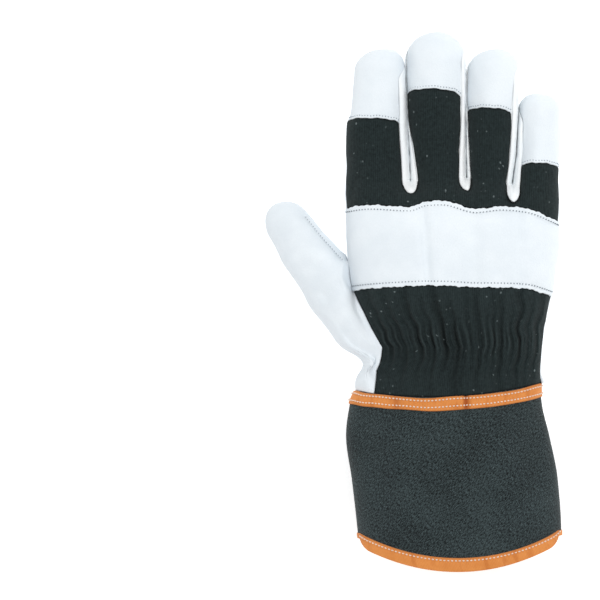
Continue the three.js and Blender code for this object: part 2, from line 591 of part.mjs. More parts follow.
// Sidewall between fingers k and k + 1: up one finger's side, round the web and up the other's.
function sidewall(k) {
  const panel = new Panel();
  const centre = slitCentre(k);
  const point = (i, side, palmSide, r, across, inset) => {
    const seamY = fingerRow(i, palmSide ? palmApex(k) : slitApex(k), 1, r);
    // The line between the two fingers runs round the web for the first rows, then up the finger.
    const around = Math.min(1, r / 2);
    const rise = Math.max(0, r - 2) / (WALL_TOP - 2);
    const bottom = centre - (SLIT_HALF + inset) * Math.cos(around * QUARTER);
    const edgeY = lerp(bottom, wallEnd(i), rise ** 1.2);
    const y = lerp(seamY, edgeY, across);
    const psi = side * lerp(r ? wallSeam(i, side, palmSide, seamY) : QUARTER, QUARTER, across);
    return skin(i, palmSide ? underneath(-psi) : psi, y, inset);
  };
  [[k, 1], [k + 1, -1]].forEach(([i, side]) => {
    [false, true].forEach((palmSide) => {
      const across = steps(WALL_COLUMNS);
      const rightwards = (side > 0) !== palmSide;
      panel.patch(rightwards ? across : across.reverse(), ALL_ROWS.slice(0, WALL_TOP + 1), (u, r) =>
        [0, LEATHER].map((inset) => point(i, side, palmSide, r, u, inset)),
      );
    });
  });
  return panel;
}

// Knuckle strap: a leather band across the back, standing a little above the cotton.
function knuckleStrap() {
  const panel = new Panel();
  indices(FINGERS.length).forEach((i) => {
    const left = (y) => (i === 0 ? -sideSeam(0, y) : -QUARTER);
    const right = (y) => (i === LAST ? sideSeam(LAST, y) : QUARTER);
    panel.patch(steps(STRIP_COLUMNS), steps(4), (u, v) => {
      const { psi, y } = settle(i, (at) => lerp(left(at), right(at), u), (x) => lerp(strapLower(x), strapUpper(x), v));
      return wallOf(i, psi, y, [-STRAP_RISE, LEATHER - STRAP_RISE], strapRelief);
    });
  });
  return panel;
}

// A point of the lower back: u from the thumb's seam to the side seam, v from the wrist to the strap.
function backLowerAt(u, v) {
  const psiAt = (y) => lerp(leanAt(WHOLE, thumbSeamX(THUMB_BACK_SEAM, y), y), sideSeam(WHOLE, y), u);
  return settle(WHOLE, psiAt, (x) => lerp(wristLine(x), strapLower(x), v));
}
function backLower() {
  return new Panel().patch(steps(GATHER_COLUMNS), GATHER_ROWS, (u, v) => {
    const { psi, y } = backLowerAt(u, v);
    return wallOf(WHOLE, psi, y, [0, COTTON], gatherRelief);
  });
}

// The palm's edge on the index side: along the thumb's seam under the hand, then up round the side.
function indexEdge(y) {
  const under = Math.PI - leanAt(0, thumbSeamX(THUMB_PALM_SEAM, y), y);
  const turning = smooth((y / HAND_LENGTH - CROTCH_FROM) / (THUMB_CROTCH - CROTCH_FROM));
  return lerp(under, TURN - sideSeam(0, y), turning);
}
const TAB_SIDE = toRadians(157.5); // the tab's edge on the little finger's side
const palmRow = (i, u, v) => (x) => lerp(wristLine(x), frontApex(i, u), v);

// Palm: with the fronts of the index and little fingers, the wraps up to the side seams, and the
// round-cornered tab that lies over the cuff.
const TAB_CORNER = 9;
const palmBlocks = [
  { i: LAST, from: (y) => sideSeam(LAST, y), to: () => TAB_SIDE, columns: LITTLE_COLUMNS.wrap, shares: [0, 0.4] },
  { i: LAST, from: () => TAB_SIDE, to: () => underneath(QUARTER), columns: LITTLE_COLUMNS.palm, shares: [0.4, 1], tab: true },
  { i: 2, from: () => underneath(-QUARTER), to: () => underneath(QUARTER), columns: STRIP_COLUMNS, shares: [0, 1], tab: true },
  { i: 1, from: () => underneath(-QUARTER), to: () => underneath(QUARTER), columns: STRIP_COLUMNS, shares: [0, 1], tab: true },
  { i: 0, from: () => underneath(-QUARTER), to: indexEdge, columns: INDEX_COLUMNS, shares: [0, 1], tab: true },
];
function palmAt(block, u, v) {
  return settle(block.i, (y) => lerp(block.from(y), block.to(y), u), palmRow(block.i, lerp(...block.shares, u), v));
}
function palm() {
  const panel = new Panel();
  const layers = (y) => [-COVER * overCuff(y), LEATHER - COVER * overCuff(y)];
  palmBlocks.forEach((block) => {
    const columns = steps(block.columns);
    panel.patch(columns, HAND_ROWS, (u, v) => {
      const { psi, y } = palmAt(block, u, v);
      return v ? wallOf(block.i, psi, y, layers(y)) : wallOf(WHOLE, wholeAngle(block.i, psi, y), y, layers(y));
    });
    if (block.i === 0 || block.i === LAST) {
      panel.patch(columns, ALL_ROWS, (u, r) => {
        const y = fingerRow(block.i, frontApex(block.i, 0), 1, r);
        const inner = r ? wallSeam(block.i, block.i === 0 ? 1 : -1, true, y) : QUARTER;
        const from = block.i === 0 ? underneath(-inner) : block.from(y);
        const to = block.i === 0 || !block.tab ? block.to(y) : underneath(inner);
        return wallOf(block.i, lerp(from, to, u), y, layers(y));
      });
    }
    if (!block.tab) return;
    panel.patch(columns, [...TAB_ROWS].reverse(), (u, v) => {
      const { psi, y: top } = palmAt(block, u, 0);
      const at = v ? tabPoint(wholeAngle(block.i, psi, top), v) : { psi: wholeAngle(block.i, psi, top), y: top };
      return wallOf(WHOLE, at.psi, at.y, layers(at.y));
    });
  });
  return panel;
}

// A row at `offset` from a line that is `share` of the way from the wrist line to the hem line.
function cuffRow(psi, offset, share) {
  return settle(WHOLE, () => psi, (x) => lerp(wristLine(x), hemLine(x), share) + offset).y;
}

// A point of the tab, v of the way down from the wrist line. Both its corners are round.
function tabPoint(psi, v) {
  const y = cuffRow(psi, -v * TAB_LENGTH, 0);
  const drawn = TAB_CORNER * (1 - round(((1 - v) * TAB_LENGTH) / TAB_CORNER));
  const lean = Math.PI - psi;
  return { psi: psi + lean * (drawn / (KNUCKLE_WIDTH / 2)) * Math.abs(lean), y };
}

// Thumb. Its root follows the edges of the lower back, the strap, the palm and the wrist line.
function rootLoop() {
  const spots = [];
  const spot = (strip, psi, y, turn) => spots.push({ strip, psi, y, turn });
  const { backWrist, backCrotch, palmCrotch, palmWrist } = ROOT_TURNS;
  const strapTop = backLowerAt(0, 1);
  const crotchEdge = palmAt(palmBlocks[4], 1, THUMB_CROTCH);
  const backTurns = GATHER_ROWS.length + 1;
  GATHER_ROWS.forEach((v, n) => {
    const { psi, y } = backLowerAt(0, v);
    spot(WHOLE, psi, y, lerp(backWrist, backCrotch, n / backTurns));
  });
  const halfway = (strapTop.y + crotchEdge.y) / 2;
  spot(WHOLE, -sideSeam(WHOLE, halfway), halfway, lerp(backWrist, backCrotch, (backTurns - 1) / backTurns));
  const palmShares = HAND_ROWS.filter((v) => v <= THUMB_CROTCH).reverse();
  palmShares.forEach((v) => {
    const { psi, y } = palmAt(palmBlocks[4], 1, v);
    const up = clamp01((v - CROTCH_FROM) / (THUMB_CROTCH - CROTCH_FROM));
    const under = clamp01((CROTCH_FROM - v) / CROTCH_FROM);
    spot(0, psi, y, v > CROTCH_FROM ? lerp(palmCrotch, backCrotch, up) : lerp(palmCrotch, palmWrist, under));
  });
  const start = leanAt(WHOLE, skin(0, palmAt(palmBlocks[4], 1, 0).psi, 0).x, 0);
  const end = backLowerAt(0, 0).psi;
  steps(WRIST_SIDE_COLUMNS).slice(1, -1).forEach((u) => {
    const psiAt = () => lerp(-Math.PI - start, end, u);
    const { psi, y } = settle(WHOLE, psiAt, wristLine);
    spot(WHOLE, psi, y, lerp(palmWrist, backWrist - 360, u));
  });
  return spots;
}

// Middle, size and direction of the thumb at `at` along its sections.
function thumbFrame(at) {
  const value = (column) => curve(THUMB_SECTIONS, "at", column, at);
  const turn = toRadians(value("turn"));
  const crotchY = THUMB_CROTCH * HAND_LENGTH;
  const depth = value("depth") * THUMB_DEPTH;
  const middle = new THREE.Vector3(
    border("left", crotchY) - value("out") * THUMB_LENGTH,
    crotchY + value("up") * THUMB_LENGTH,
    depth / 2,
  );
  const axis = new THREE.Vector3(-Math.cos(turn), Math.sin(turn), 0);
  const across = new THREE.Vector3(Math.sin(turn), Math.cos(turn), 0);
  return { middle, axis, across, width: value("width") * THUMB_WIDTH, depth };
}
function thumbPoint(at, degrees, scale) {
  const { middle, across, width, depth } = thumbFrame(at);
  const turn = toRadians(degrees);
  const rise = Math.sin(turn) * (Math.sin(turn) < 0 ? depth / 2 + PRESS / 2 : depth / 2);
  return middle
    .clone()
    .addScaledVector(across, (width / 2) * Math.cos(turn) * scale)
    .add(new THREE.Vector3(0, 0, rise * scale));
}

function thumb() {
  const spots = rootLoop();
  const count = spots.length;
  const seat = spots.map(({ strip, psi, y }) => skin(strip, psi, y));
  const bed = spots.map(({ strip, psi, y }) => skin(strip, psi, y, LEATHER));
  const rootEnd = spots.map(({ turn }) => thumbPoint(0, turn, 1));
  const heading = thumbFrame(0).axis;
  // Direction in which the leather leaves its seam, along the hand's skin.
  const leaving = spots.map((_, n) => {
    const run = seat[(n + 1) % count].clone().sub(seat[(n + count - 1) % count]);
    const normal = seat[n].clone().sub(bed[n]);
    return run.cross(normal).normalize().negate();
  });
  const outer = [];
  ROOT_ROWS.forEach((s) => {
    outer.push(
      spots.map((_, n) => {
        const reach = seat[n].distanceTo(rootEnd[n]) * (1 + WRIST_SWEEP * Math.max(0, -Math.cos(toRadians(spots[n].turn))));
        const point = seat[n].clone().multiplyScalar(2 * s ** 3 - 3 * s ** 2 + 1);
        point.addScaledVector(leaving[n], (s ** 3 - 2 * s ** 2 + s) * reach);
        point.addScaledVector(rootEnd[n], 3 * s ** 2 - 2 * s ** 3);
        return point.addScaledVector(heading, (s ** 3 - s ** 2) * reach);
      }),
    );
  });
  THUMB_ROWS.forEach((at) => outer.push(spots.map(({ turn }) => thumbPoint(at, turn, 1))));
  const last = THUMB_ROWS[THUMB_ROWS.length - 1];
  THUMB_TIP_ROWS.forEach((t) => {
    const reach = thumbFrame(last).axis.clone().multiplyScalar(THUMB_TIP * THUMB_WIDTH * Math.sin(t * QUARTER));
    outer.push(spots.map(({ turn }) => thumbPoint(last, turn, Math.cos(t * QUARTER)).add(reach)));
  });
  const normalAt = (r, n) => {
    if (r === outer.length - 1) return thumbFrame(last).axis;
    const right = outer[r][(n + 1) % count].clone().sub(outer[r][(n + count - 1) % count]);
    return right.cross(outer[r + 1][n].clone().sub(outer[Math.max(0, r - 1)][n])).normalize();
  };
  const layers = outer.map((ring, r) =>
    ring.map((point, n) => {
      const normal = normalAt(r, n);
      const fold = creaseRelief(THUMB_CREASES, point.x, point.y) * Math.max(0, normal.z) * smooth(r / 2);
      const top = point.clone().addScaledVector(normal, fold);
      const under = top.clone().addScaledVector(normal, -LEATHER);
      top.z = Math.max(0, top.z);
      under.z = Math.max(LEATHER, under.z);
      return r === 0 ? [seat[n], bed[n]] : [top, under];
    }),
  );
  const columns = indices(count + 1);
  return new Panel().patch(columns, indices(outer.length), (n, r) => layers[r][n % count]);
}

// Columns round the cuff, as shares of its width: the palm's columns underneath, then the sides and back.
const CUFF_TOP_COLUMNS = 20;
function cuffAngles() {
  const under = palmBlocks
    .filter((block) => block.tab)
    .flatMap((block) => steps(block.columns).map((u) => {
      const { psi, y } = palmAt(block, u, 0);
      return wholeAngle(block.i, psi, y);
    }))
    .filter((psi, n, all) => n === 0 || psi - all[n - 1] > 1e-6);
  const left = under[under.length - 1];
  const over = steps(CUFF_TOP_COLUMNS).map((u) => lerp(left, under[0] + TURN, u));
  return [...under, ...over.slice(1)];
}
const cuffAngle = cuffAngles();

const cuffRelief = (x, y) => creaseRelief(CUFF_CREASES, x, y);
const CUFF_ROWS = [
  { share: 1, up: 0 },
  { share: 1, up: HEM_BAND_WIDTH / 2 },
  { share: 1, up: HEM_BAND_WIDTH },
  { share: 0.8, up: 0 },
  { share: 0.66, up: 0 },
  { share: 0.5, up: 0 },
  ...[1, 0.75, 0.5, 0.25, 0.125, 0].map((down) => ({ share: 0, up: -down * TAB_LENGTH })),
];
function cuff() {
  return new Panel().patch(indices(cuffAngle.length), CUFF_ROWS, (n, row) => {
    const psi = cuffAngle[n % (cuffAngle.length - 1)];
    return wallOf(WHOLE, psi, cuffRow(psi, row.up, row.share), [0, DENIM], cuffRelief);
  });
}

// Tape round the wrist, over the top of the cuff, from one side of the tab to the other.
const TAPE_CLEAR = 1.2; // from the tab's edges to the ends of the tape
function wristBinding() {
  const under = cuffAngle.length - 1 - CUFF_TOP_COLUMNS;
  const angles = cuffAngle.slice(under);
  const half = stripEdges(WHOLE, 0, 0).half;
  const slack = TAPE_CLEAR / half / Math.abs(Math.cos(angles[0]));
  angles[0] += slack;
  angles[angles.length - 1] -= slack;
  return new Panel().patch(angles, [1, 0.5, 0], (psi, down) => {
    const y = cuffRow(psi, -down * WRIST_BAND_WIDTH, 0);
    return wallOf(WHOLE, psi, y, [-GAP - TAPE, -GAP], cuffRelief);
  });
}

// Tape folded over the hem: up the inside, round the edge and up the outside.
const HEM_SECTION = [
  { up: 1, outer: DENIM + GAP + TAPE, inner: DENIM + GAP, drop: 0, innerDrop: 0 },
  { up: 0, outer: DENIM + GAP + TAPE, inner: DENIM + GAP, drop: 0, innerDrop: 0 },
  { up: 0, outer: DENIM / 2, inner: DENIM / 2, drop: GAP + TAPE, innerDrop: GAP },
  { up: 0, outer: -GAP - TAPE, inner: -GAP, drop: 0, innerDrop: 0 },
  { up: 1, outer: -GAP - TAPE, inner: -GAP, drop: 0, innerDrop: 0 },
];
function hemBinding() {
  return new Panel().patch(indices(cuffAngle.length), HEM_SECTION, (n, row) => {
    const psi = cuffAngle[n % (cuffAngle.length - 1)];
    const y = cuffRow(psi, row.up * HEM_BAND_WIDTH, 1);
    return [
      skin(WHOLE, psi, y - row.drop, row.outer, cuffRelief),
      skin(WHOLE, psi, y - row.innerDrop, row.inner, cuffRelief),
    ];
  });
}

add("palm", palm(), leather);
[1, 2].forEach((i) => add(`front_${FINGERS[i].name}`, fingerFront(i), leather));
add("thumb", thumb(), leather);
add("back_upper", backUpper(), cotton);
add("knuckle_strap", knuckleStrap(), leather);
add("back_lower", backLower(), cotton);
FINGERS.forEach((finger, i) => add(`tip_${finger.name}`, fingertip(i), leather));
SLITS.forEach((_, k) => add(`sidewall_${FINGERS[k].name}_${FINGERS[k + 1].name}`, sidewall(k), leather));
add("cuff", cuff(), denim);
add("wrist_binding", wristBinding(), tape);
add("hem_binding", hemBinding(), tape);

// The origin is under the middle of the whole glove, on the surface that it lies on.
const box = new THREE.Box3().setFromObject(glove);
const middle = box.getCenter(new THREE.Vector3());
glove.children.forEach((mesh) => mesh.geometry.translate(-middle.x, -middle.y, -box.min.z));

export default glove;
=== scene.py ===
"""Right-hand rigger work glove, lying palm down and filled as if it held a hand.

Every panel of leather and cloth is worked out from one filled form, cut along its seams. The drafting
is in millimetres: +Y to the fingertips, -X to the thumb, +Z up from the surface that the glove lies on.
"""

import bpy
import numpy as np
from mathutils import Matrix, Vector


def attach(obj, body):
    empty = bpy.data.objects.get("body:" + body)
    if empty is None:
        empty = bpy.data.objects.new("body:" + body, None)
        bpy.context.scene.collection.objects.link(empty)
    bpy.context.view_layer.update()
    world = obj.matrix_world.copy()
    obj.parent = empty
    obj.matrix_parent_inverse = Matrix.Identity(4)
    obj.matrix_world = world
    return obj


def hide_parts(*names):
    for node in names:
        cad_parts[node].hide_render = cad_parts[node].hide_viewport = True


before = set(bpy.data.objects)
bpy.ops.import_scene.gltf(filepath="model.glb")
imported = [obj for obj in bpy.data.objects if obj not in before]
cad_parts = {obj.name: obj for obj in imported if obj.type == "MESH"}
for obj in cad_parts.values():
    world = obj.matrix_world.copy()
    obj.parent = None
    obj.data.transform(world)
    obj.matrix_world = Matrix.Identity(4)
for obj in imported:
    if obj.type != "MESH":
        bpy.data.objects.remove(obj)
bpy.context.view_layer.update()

MM = 0.001
DRAFT_MIDDLE = np.array([-20.026, 48.49, 0])  # middle of the glove in the drafting
random = np.random.default_rng(41)

# Lengths along Y
HAND_LENGTH = 102
CUFF_LENGTH = 84.8
STRAP_SEAT = 55
STRAP_WIDTH = 40
ELASTIC_SEAT = 28
TAB_LENGTH = 27
WRIST_BAND_WIDTH = TAB_LENGTH / 4
HEM_BAND_WIDTH = 6.2

# Widths and depths of the filled glove
KNUCKLE_WIDTH = 107.5
HAND_DEPTH = 42
WRIST_DEPTH = 38
CUFF_DEPTH = 44
FINGER_LENGTH = 81.5  # middle finger, from the finger seams to its tip
FINGER_DEPTH = 25
THUMB_LENGTH = 46
THUMB_WIDTH = 26
THUMB_DEPTH = 25

# Walls and clearances
LEATHER = 1.4
COTTON = 1.2
DENIM = 1.6
TAPE = 0.7
TAPE_GAP = 0.15
STRAP_RISE = 0.8
GAP = 0.3
SLIT_HALF = 0.05
PRESS = 2.4  # how far the underside would sag below the surface
SEAT = 0.8  # how softly the pressed underside runs into the sides
INNER_SEAT = 0.3  # lowest height of an inner layer

WRIST_RISE = 1
WRIST_SAG = 4.75
WRIST_SLANT = 1.75
HEM_SAG = 12.25
HEM_SLANT = 0.75
HEM_CORNER = 5
CAP_SLANT = 0.8
CAP_WAVER = 0.16
MIDLINE = 0.512
SIDE_SEAM = 0.14
PALM_APEX_DROP = 3.5
SEAM_ROUND = 6
TAB_SIDE = np.radians(157.5)
TAB_CORNER = 9
TAB_SEAM_SHORT = 0.12  # angle by which the tab's stitches stop short of its sides
TAPE_CLEAR = 1.2

QUARTER = np.pi / 2
TURN = 2 * np.pi
NEARLY_NONE = 1e-12
EDGE = QUARTER - 1e-9
WHOLE = -1
LAST = 3


def columns_of(names, rows):
    """A table's columns by name."""
    return dict(zip(names.split(), np.array(rows, float).T))


# Fingers from the index to the little one: shares of the finger length and depth, how far the tip leans
# to the right in half widths, and the power that makes it blunt
FINGER = columns_of("length cap sag girth lean blunt", [
    [0.896, 0.432, 0.021, 1.0, 0.28, 2.8],
    [1, 0.356, 0.042, 1.04, 0.05, 2.2],
    [0.902, 0.374, 0.029, 0.97, 0.12, 2.2],
    [0.626, 0.436, 0.028, 0.87, -0.16, 2.8],
])

# How far each finger's seams lie from its middle in half widths: on the back at the top and at the foot of
# the sidewalls, and on the palm
SEAM = columns_of("back_left back_right foot_left foot_right palm_left palm_right", [
    [1, 0.7, 1, 0.745, 1, 0.8],
    [0.985, 0.83, 0.75, 0.7, 0.8, 0.8],
    [0.95, 0.74, 0.83, 0.73, 0.8, 0.8],
    [0.76, 1, 0.69, 1, 0.8, 1],
])
FOOT_RUN = 44  # from the foot of a sidewall to its full width
WALL_PUFF = 2.6
FINGER_NAMES = ["index", "middle", "ring", "little"]

# Slits between the fingers: how far above the base of the fingers in shares of the hand's length, and
# how deep the leather between them is in shares of the finger depth
SLIT = columns_of("apex web", [[0, 0.28], [0.0147, 0.28], [-0.0441, 0.4]])


def along(table):
    """Place along Y of each row of a table, from its shares of the cuff's, hand's and fingers' lengths."""
    return table["hand"] * HAND_LENGTH + table["finger"] * FINGER_LENGTH - table["cuff"] * CUFF_LENGTH


# Plan of the filled glove, as shares of the knuckle width from the index side
PLAN = columns_of("cuff hand finger left slit1 slit2 slit3 right", [
    [1, 0, 0, 0.07, 0.34, 0.55, 0.77, 0.985],
    [0.8, 0, 0, 0.058, 0.335, 0.55, 0.77, 1.003],
    [0.48, 0, 0, 0.03, 0.32, 0.54, 0.76, 0.987],
    [0.22, 0, 0, 0.003, 0.31, 0.535, 0.75, 0.948],
    [0.04, 0, 0, 0.02, 0.3, 0.53, 0.74, 0.915],
    [0, 0.05, 0, 0.05, 0.3, 0.535, 0.735, 0.908],
    [0, 0.16, 0, 0.079, 0.302, 0.537, 0.738, 0.912],
    [0, 0.28, 0, 0.055, 0.305, 0.54, 0.745, 0.921],
    [0, 0.53, 0, 0.033, 0.32, 0.56, 0.78, 0.963],
    [0, 0.8, 0, 0.006, 0.31, 0.567, 0.78, 0.99],
    [0, 1, 0, 0.002, 0.305, 0.567, 0.775, 0.996],
    [0, 1, 0.27, 0.003, 0.299, 0.563, 0.798, 1],
    [0, 1, 0.43, 0.006, 0.292, 0.563, 0.805, 1.005],
    [0, 1, 0.5, 0.024, 0.29, 0.563, 0.808, 1.005],
    [0, 1, 0.75, 0.038, 0.283, 0.564, 0.815, 1.005],
    [0, 1, 1, 0.06, 0.279, 0.565, 0.823, 1.005],
])
PLAN_AT = along(PLAN)

# Depth of the filled glove in millimetres, and radius of its rounded sides in shares of the knuckle width
SECTION = columns_of("cuff hand finger depth side", [
    [1, 0, 0, CUFF_DEPTH * 1.02, 0.44],
    [0.5, 0, 0, CUFF_DEPTH, 0.44],
    [0.05, 0, 0, WRIST_DEPTH * 1.04, 0.42],
    [0, 0.05, 0, WRIST_DEPTH, 0.41],
    [0, 0.27, 0, WRIST_DEPTH * 0.96, 0.4],
    [0, 0.55, 0, HAND_DEPTH, 0.38],
    [0, 0.8, 0, HAND_DEPTH * 0.96, 0.35],
    [0, 0.95, 0, HAND_DEPTH * 0.83, 0.28],
    [0, 1, 0.1, FINGER_DEPTH * 1.12, 0.17],
    [0, 1, 0.25, FINGER_DEPTH, 0.13],
    [0, 1, 1, FINGER_DEPTH * 0.94, 0.1],
])
SECTION_AT = along(SECTION)

# Rise of the strap's edges over their seats, in shares of its width
STRAP_EDGE = columns_of("at lower upper", [
    [0, -0.04, -0.012],
    [0.12, 0, 0.025],
    [0.3, 0.03, 0],
    [0.38, 0.037, 0.068],
    [0.45, 0.035, 0.075],
    [0.6, 0.015, -0.02],
    [0.72, 0.012, 0.012],
    [0.82, 0, -0.012],
    [1, -0.14, -0.19],
])

# The thumb's crotch in shares of the hand's length, and its seams: how far inside the outline they lie,
# in shares of the knuckle width
THUMB_CROTCH = 0.69
CROTCH_FROM = 0.58
THUMB_BACK_SEAM = columns_of("at inside", [
    [0, 0.095], [0.137, 0.066], [0.25, 0.108], [0.456, 0.025], [0.52, 0.003], [1, 0.003],
])
THUMB_PALM_SEAM = columns_of("at inside", [[0, 0.1], [0.3, 0.12], [0.52, 0.09], [0.62, 0.05]])

# Sections of the thumb: place from the crotch in shares of its length, width and depth in shares of the
# thumb's own, and turn in degrees
THUMB_SECTION = columns_of("at out up width depth turn", [
    [0, 0.16, -0.341, 1.36, 1.22, 22],
    [1, 0.31, -0.133, 1.1, 1.1, 44],
    [2, 0.505, 0.128, 0.99, 1.0, 50],
    [3, 0.641, 0.34, 0.88, 0.9, 54],
])
THUMB_LAST = 3.0
THUMB_TIP = 0.5
THUMB_SEAM_TURN = np.radians(38)
WRIST_SWEEP = 0.15  # how much wider the leather swings out of the wrist
ARRIVE_SHORT = 0.4  # and how much sooner it turns into the thumb there
LEVEL_OFF = 0.15  # how much of its slope the leather keeps where it leaves the back of the hand
LEVEL_PASSES = 180
# Turn round the thumb, in degrees, that the leather from each corner of its root goes to
ROOT_TURN = {"back_wrist": 140, "back_crotch": 28, "palm_crotch": -28, "palm_wrist": -135}
FULL_TURN = 360

# Folds pressed into the knuckle strap, in shares of the knuckle width and the hand's depth
STRAP_FOLD = columns_of("at lean width depth", [
    [0.355, 0.03, 0.022, 0.036],
    [0.815, 0, 0.018, 0.026],
    [0.6, 0, 0.03, 0.014],
])

# Creases, from one point to another in shares of the knuckle width and the hand's length
CREASE_WIDTH, CREASE_DEPTH = 3.2, 2.2
CUFF_CREASE = columns_of("from_x from_y to_x to_y width depth", [
    [0.07, -0.12, 0.2, -0.55, 2.2, 0.6],
    [0.36, -0.1, 0.42, -0.6, 3.0, 0.5],
    [0.66, -0.12, 0.62, -0.5, 2.4, 0.6],
    [0.87, -0.1, 0.9, -0.45, 2.0, 0.6],
])
THUMB_CREASE = columns_of("from_x from_y to_x to_y width depth", [
    [-0.01, 0.56, -0.11, 0.49, 1.1, 0.6],
    [0.045, 0.46, 0.152, 0.265, 0.42, 0.4],
    [0.05, 0.19, 0.16, 0.25, 1.1, 0.3],
])

# Where the thumb's outline turns in towards the wrist
NOTCH_AT = 18
NOTCH_DEPTH = 7.8
NOTCH_WIDTH = 6.2
NOTCH_RUN = 12

# Gathers that the elastic draws up: share across the lower back, depth, width, and how far each runs
# towards the strap and towards the wrist
GATHER_DEPTH = 2.2
GATHER = columns_of("at depth width up down", [
    [0.03, 0.5, 0.8, 1.2, 0.9],
    [0.07, 0.8, 0.8, 1.5, 0.8],
    [0.115, 0.5, 0.7, 0.9, 0.7],
    [0.155, 0.8, 0.9, 1.4, 1.1],
    [0.2, 0.5, 0.7, 1.1, 0.8],
    [0.25, 1.0, 0.9, 1.6, 0.9],
    [0.295, 0.5, 0.6, 0.9, 1.2],
    [0.33, 0.7, 0.8, 1.2, 1.3],
    [0.405, 1.2, 1.0, 1.7, 0.8],
    [0.44, 0.5, 0.6, 0.8, 1.0],
    [0.475, 1.0, 0.9, 1.1, 1.6],
    [0.51, 0.6, 0.8, 0.7, 1.6],
    [0.56, 0.6, 0.7, 1.3, 0.8],
    [0.61, 0.8, 0.8, 1.4, 1.2],
    [0.66, 0.5, 0.6, 0.8, 0.8],
    [0.7, 0.6, 0.7, 1.3, 1.0],
    [0.745, 0.9, 0.9, 1.2, 1.4],
    [0.8, 0.5, 0.7, 1.0, 0.9],
    [0.845, 1.0, 0.8, 1.7, 1.2],
    [0.9, 0.6, 0.7, 1.2, 1.1],
    [0.955, 0.8, 0.8, 1.6, 1.1],
])
GATHER_WIDTH = 0.016  # of a fold in shares of the back's width
GATHER_STEEP = 0.55
GATHER_SLACK = 1.25
GATHER_START = 0.05  # share of the back in which the folds set in beside the thumb's seam

# Small folds that stay close to the elastic: number across the back, phase and size
PUCKER_DEPTH = 0.5
PUCKER_RUN = 7
PUCKER = columns_of("number phase size", [[27, 0, 1], [41, 1.3, 1], [63, 0.4, 0.6]])
ELASTIC_GROOVE = 0.5
ELASTIC_WIDTH = 2.2

# Tucks that pull the tape and the cloth in at the wrist
TUCK = columns_of("at width depth", [[4.6, 1.2, 1.5], [-30, 2, 0.7]])
TUCK_RUN = 11


# Plain curves

EDGE_ROWS = np.array([0.18, 0.42, 0.8])
RIPPLE_WAVES = 20


def lerp(a, b, t):
    return a + (b - a) * t


def smooth(t):
    """S-shaped step from 0 to 1."""
    t = np.clip(t, 0, 1)
    return t * t * (3 - 2 * t)


def rounded(t):
    """Quarter circle from 0 up to 1."""
    return np.sqrt(1 - (1 - np.clip(t, 0, 1)) ** 2)


def bell(t):
    return np.exp(-np.square(t))


def curve(xs, ys, t):
    """Cubic through the points (xs, ys) that never overshoots them: its slope at each point is the
    harmonic mean of the rises on both sides, or none where they turn."""
    rise = np.diff(ys) / np.diff(xs)
    turns = rise[:-1] * rise[1:] <= 0
    inner = np.where(turns, 0, 2 * rise[:-1] * rise[1:] / np.where(turns, 1, rise[:-1] + rise[1:]))
    slope = np.concatenate(([rise[0]], inner, [rise[-1]]))
    t = np.clip(t, xs[0], xs[-1])
    n = np.clip(np.searchsorted(xs, t, side="right") - 1, 0, len(xs) - 2)
    step = xs[n + 1] - xs[n]
    s = (t - xs[n]) / step
    flat = lerp(ys[n], ys[n + 1], s * s * (3 - 2 * s))
    return flat + step * s * (1 - s) * ((1 - s) * slope[n] - s * slope[n + 1])


def spaced(length, spacing=0.9):
    """Shares of a length in millimetres at an even spacing, with closer ones near both ends, where an
    edge is rolled over. A rough length will do, as it only sets how many there are."""
    even = np.linspace(0, 1, max(3, round(length / spacing)) + 1)
    near = EDGE_ROWS / length
    inner = even[(even > near[-1] * 1.3) & (even < 1 - near[-1] * 1.3)]
    return np.concatenate(([0], near, inner, 1 - near[::-1], [1]))


class Ripple:
    """Soft unevenness: a sum of waves of random direction, length and phase, about `size` millimetres
    long, with a mean square of 1."""

    def __init__(self, size):
        direction = random.normal(size=(3, RIPPLE_WAVES))
        direction /= np.linalg.norm(direction, axis=0)
        self.waves = direction * TURN / (size * random.uniform(0.6, 1.7, RIPPLE_WAVES))
        self.phase = random.uniform(0, TURN, RIPPLE_WAVES)

    def __call__(self, points):
        return np.sin(points @ self.waves + self.phase).sum(-1) * np.sqrt(2 / RIPPLE_WAVES)


# The filled form

BORDERS = ["left", "slit1", "slit2", "slit3", "right"]


def border(column, y):
    """X of an outline or slit at y."""
    return (curve(PLAN_AT, PLAN[column], y) - MIDLINE) * KNUCKLE_WIDTH


def section(column, y):
    return curve(SECTION_AT, SECTION[column], y)


COVER = GAP + LEATHER  # the palm's tab below the cuff
LIFT_RUN = 6
WRIST_HIGH = WRIST_RISE + WRIST_SAG + WRIST_SLANT
SLIT_APEX = HAND_LENGTH * (1 + SLIT["apex"])
PALM_APEX = SLIT_APEX - PALM_APEX_DROP
SLIT_CENTRE = SLIT_APEX + SLIT["web"] * FINGER_DEPTH + SLIT_HALF
FINGER_TIP = HAND_LENGTH + FINGER["length"] * FINGER_LENGTH
CAP_LENGTH = FINGER["cap"] * FINGER_LENGTH


def over_cuff(y):
    return 1 - smooth((y - WRIST_HIGH) / LIFT_RUN)


def slit_half(k, y, inset):
    """Half the opening of slit k at y, with a round end."""
    return np.sqrt(np.maximum(0, (SLIT_HALF + inset) ** 2 - np.maximum(0, SLIT_CENTRE[k] - y) ** 2))


def strip_edges(strip, y, inset):
    """Middle and half width of the whole section, or of the strip below one finger, at y."""
    if strip <= 0:
        left = border("left", y) + inset
    else:
        left = border(BORDERS[strip], y) + slit_half(strip - 1, y, inset)
    if strip in (WHOLE, LAST):
        right = border("right", y) - inset
    else:
        right = border(BORDERS[strip + 1], y) - slit_half(strip, y, inset)
    return (left + right) / 2, (right - left) / 2


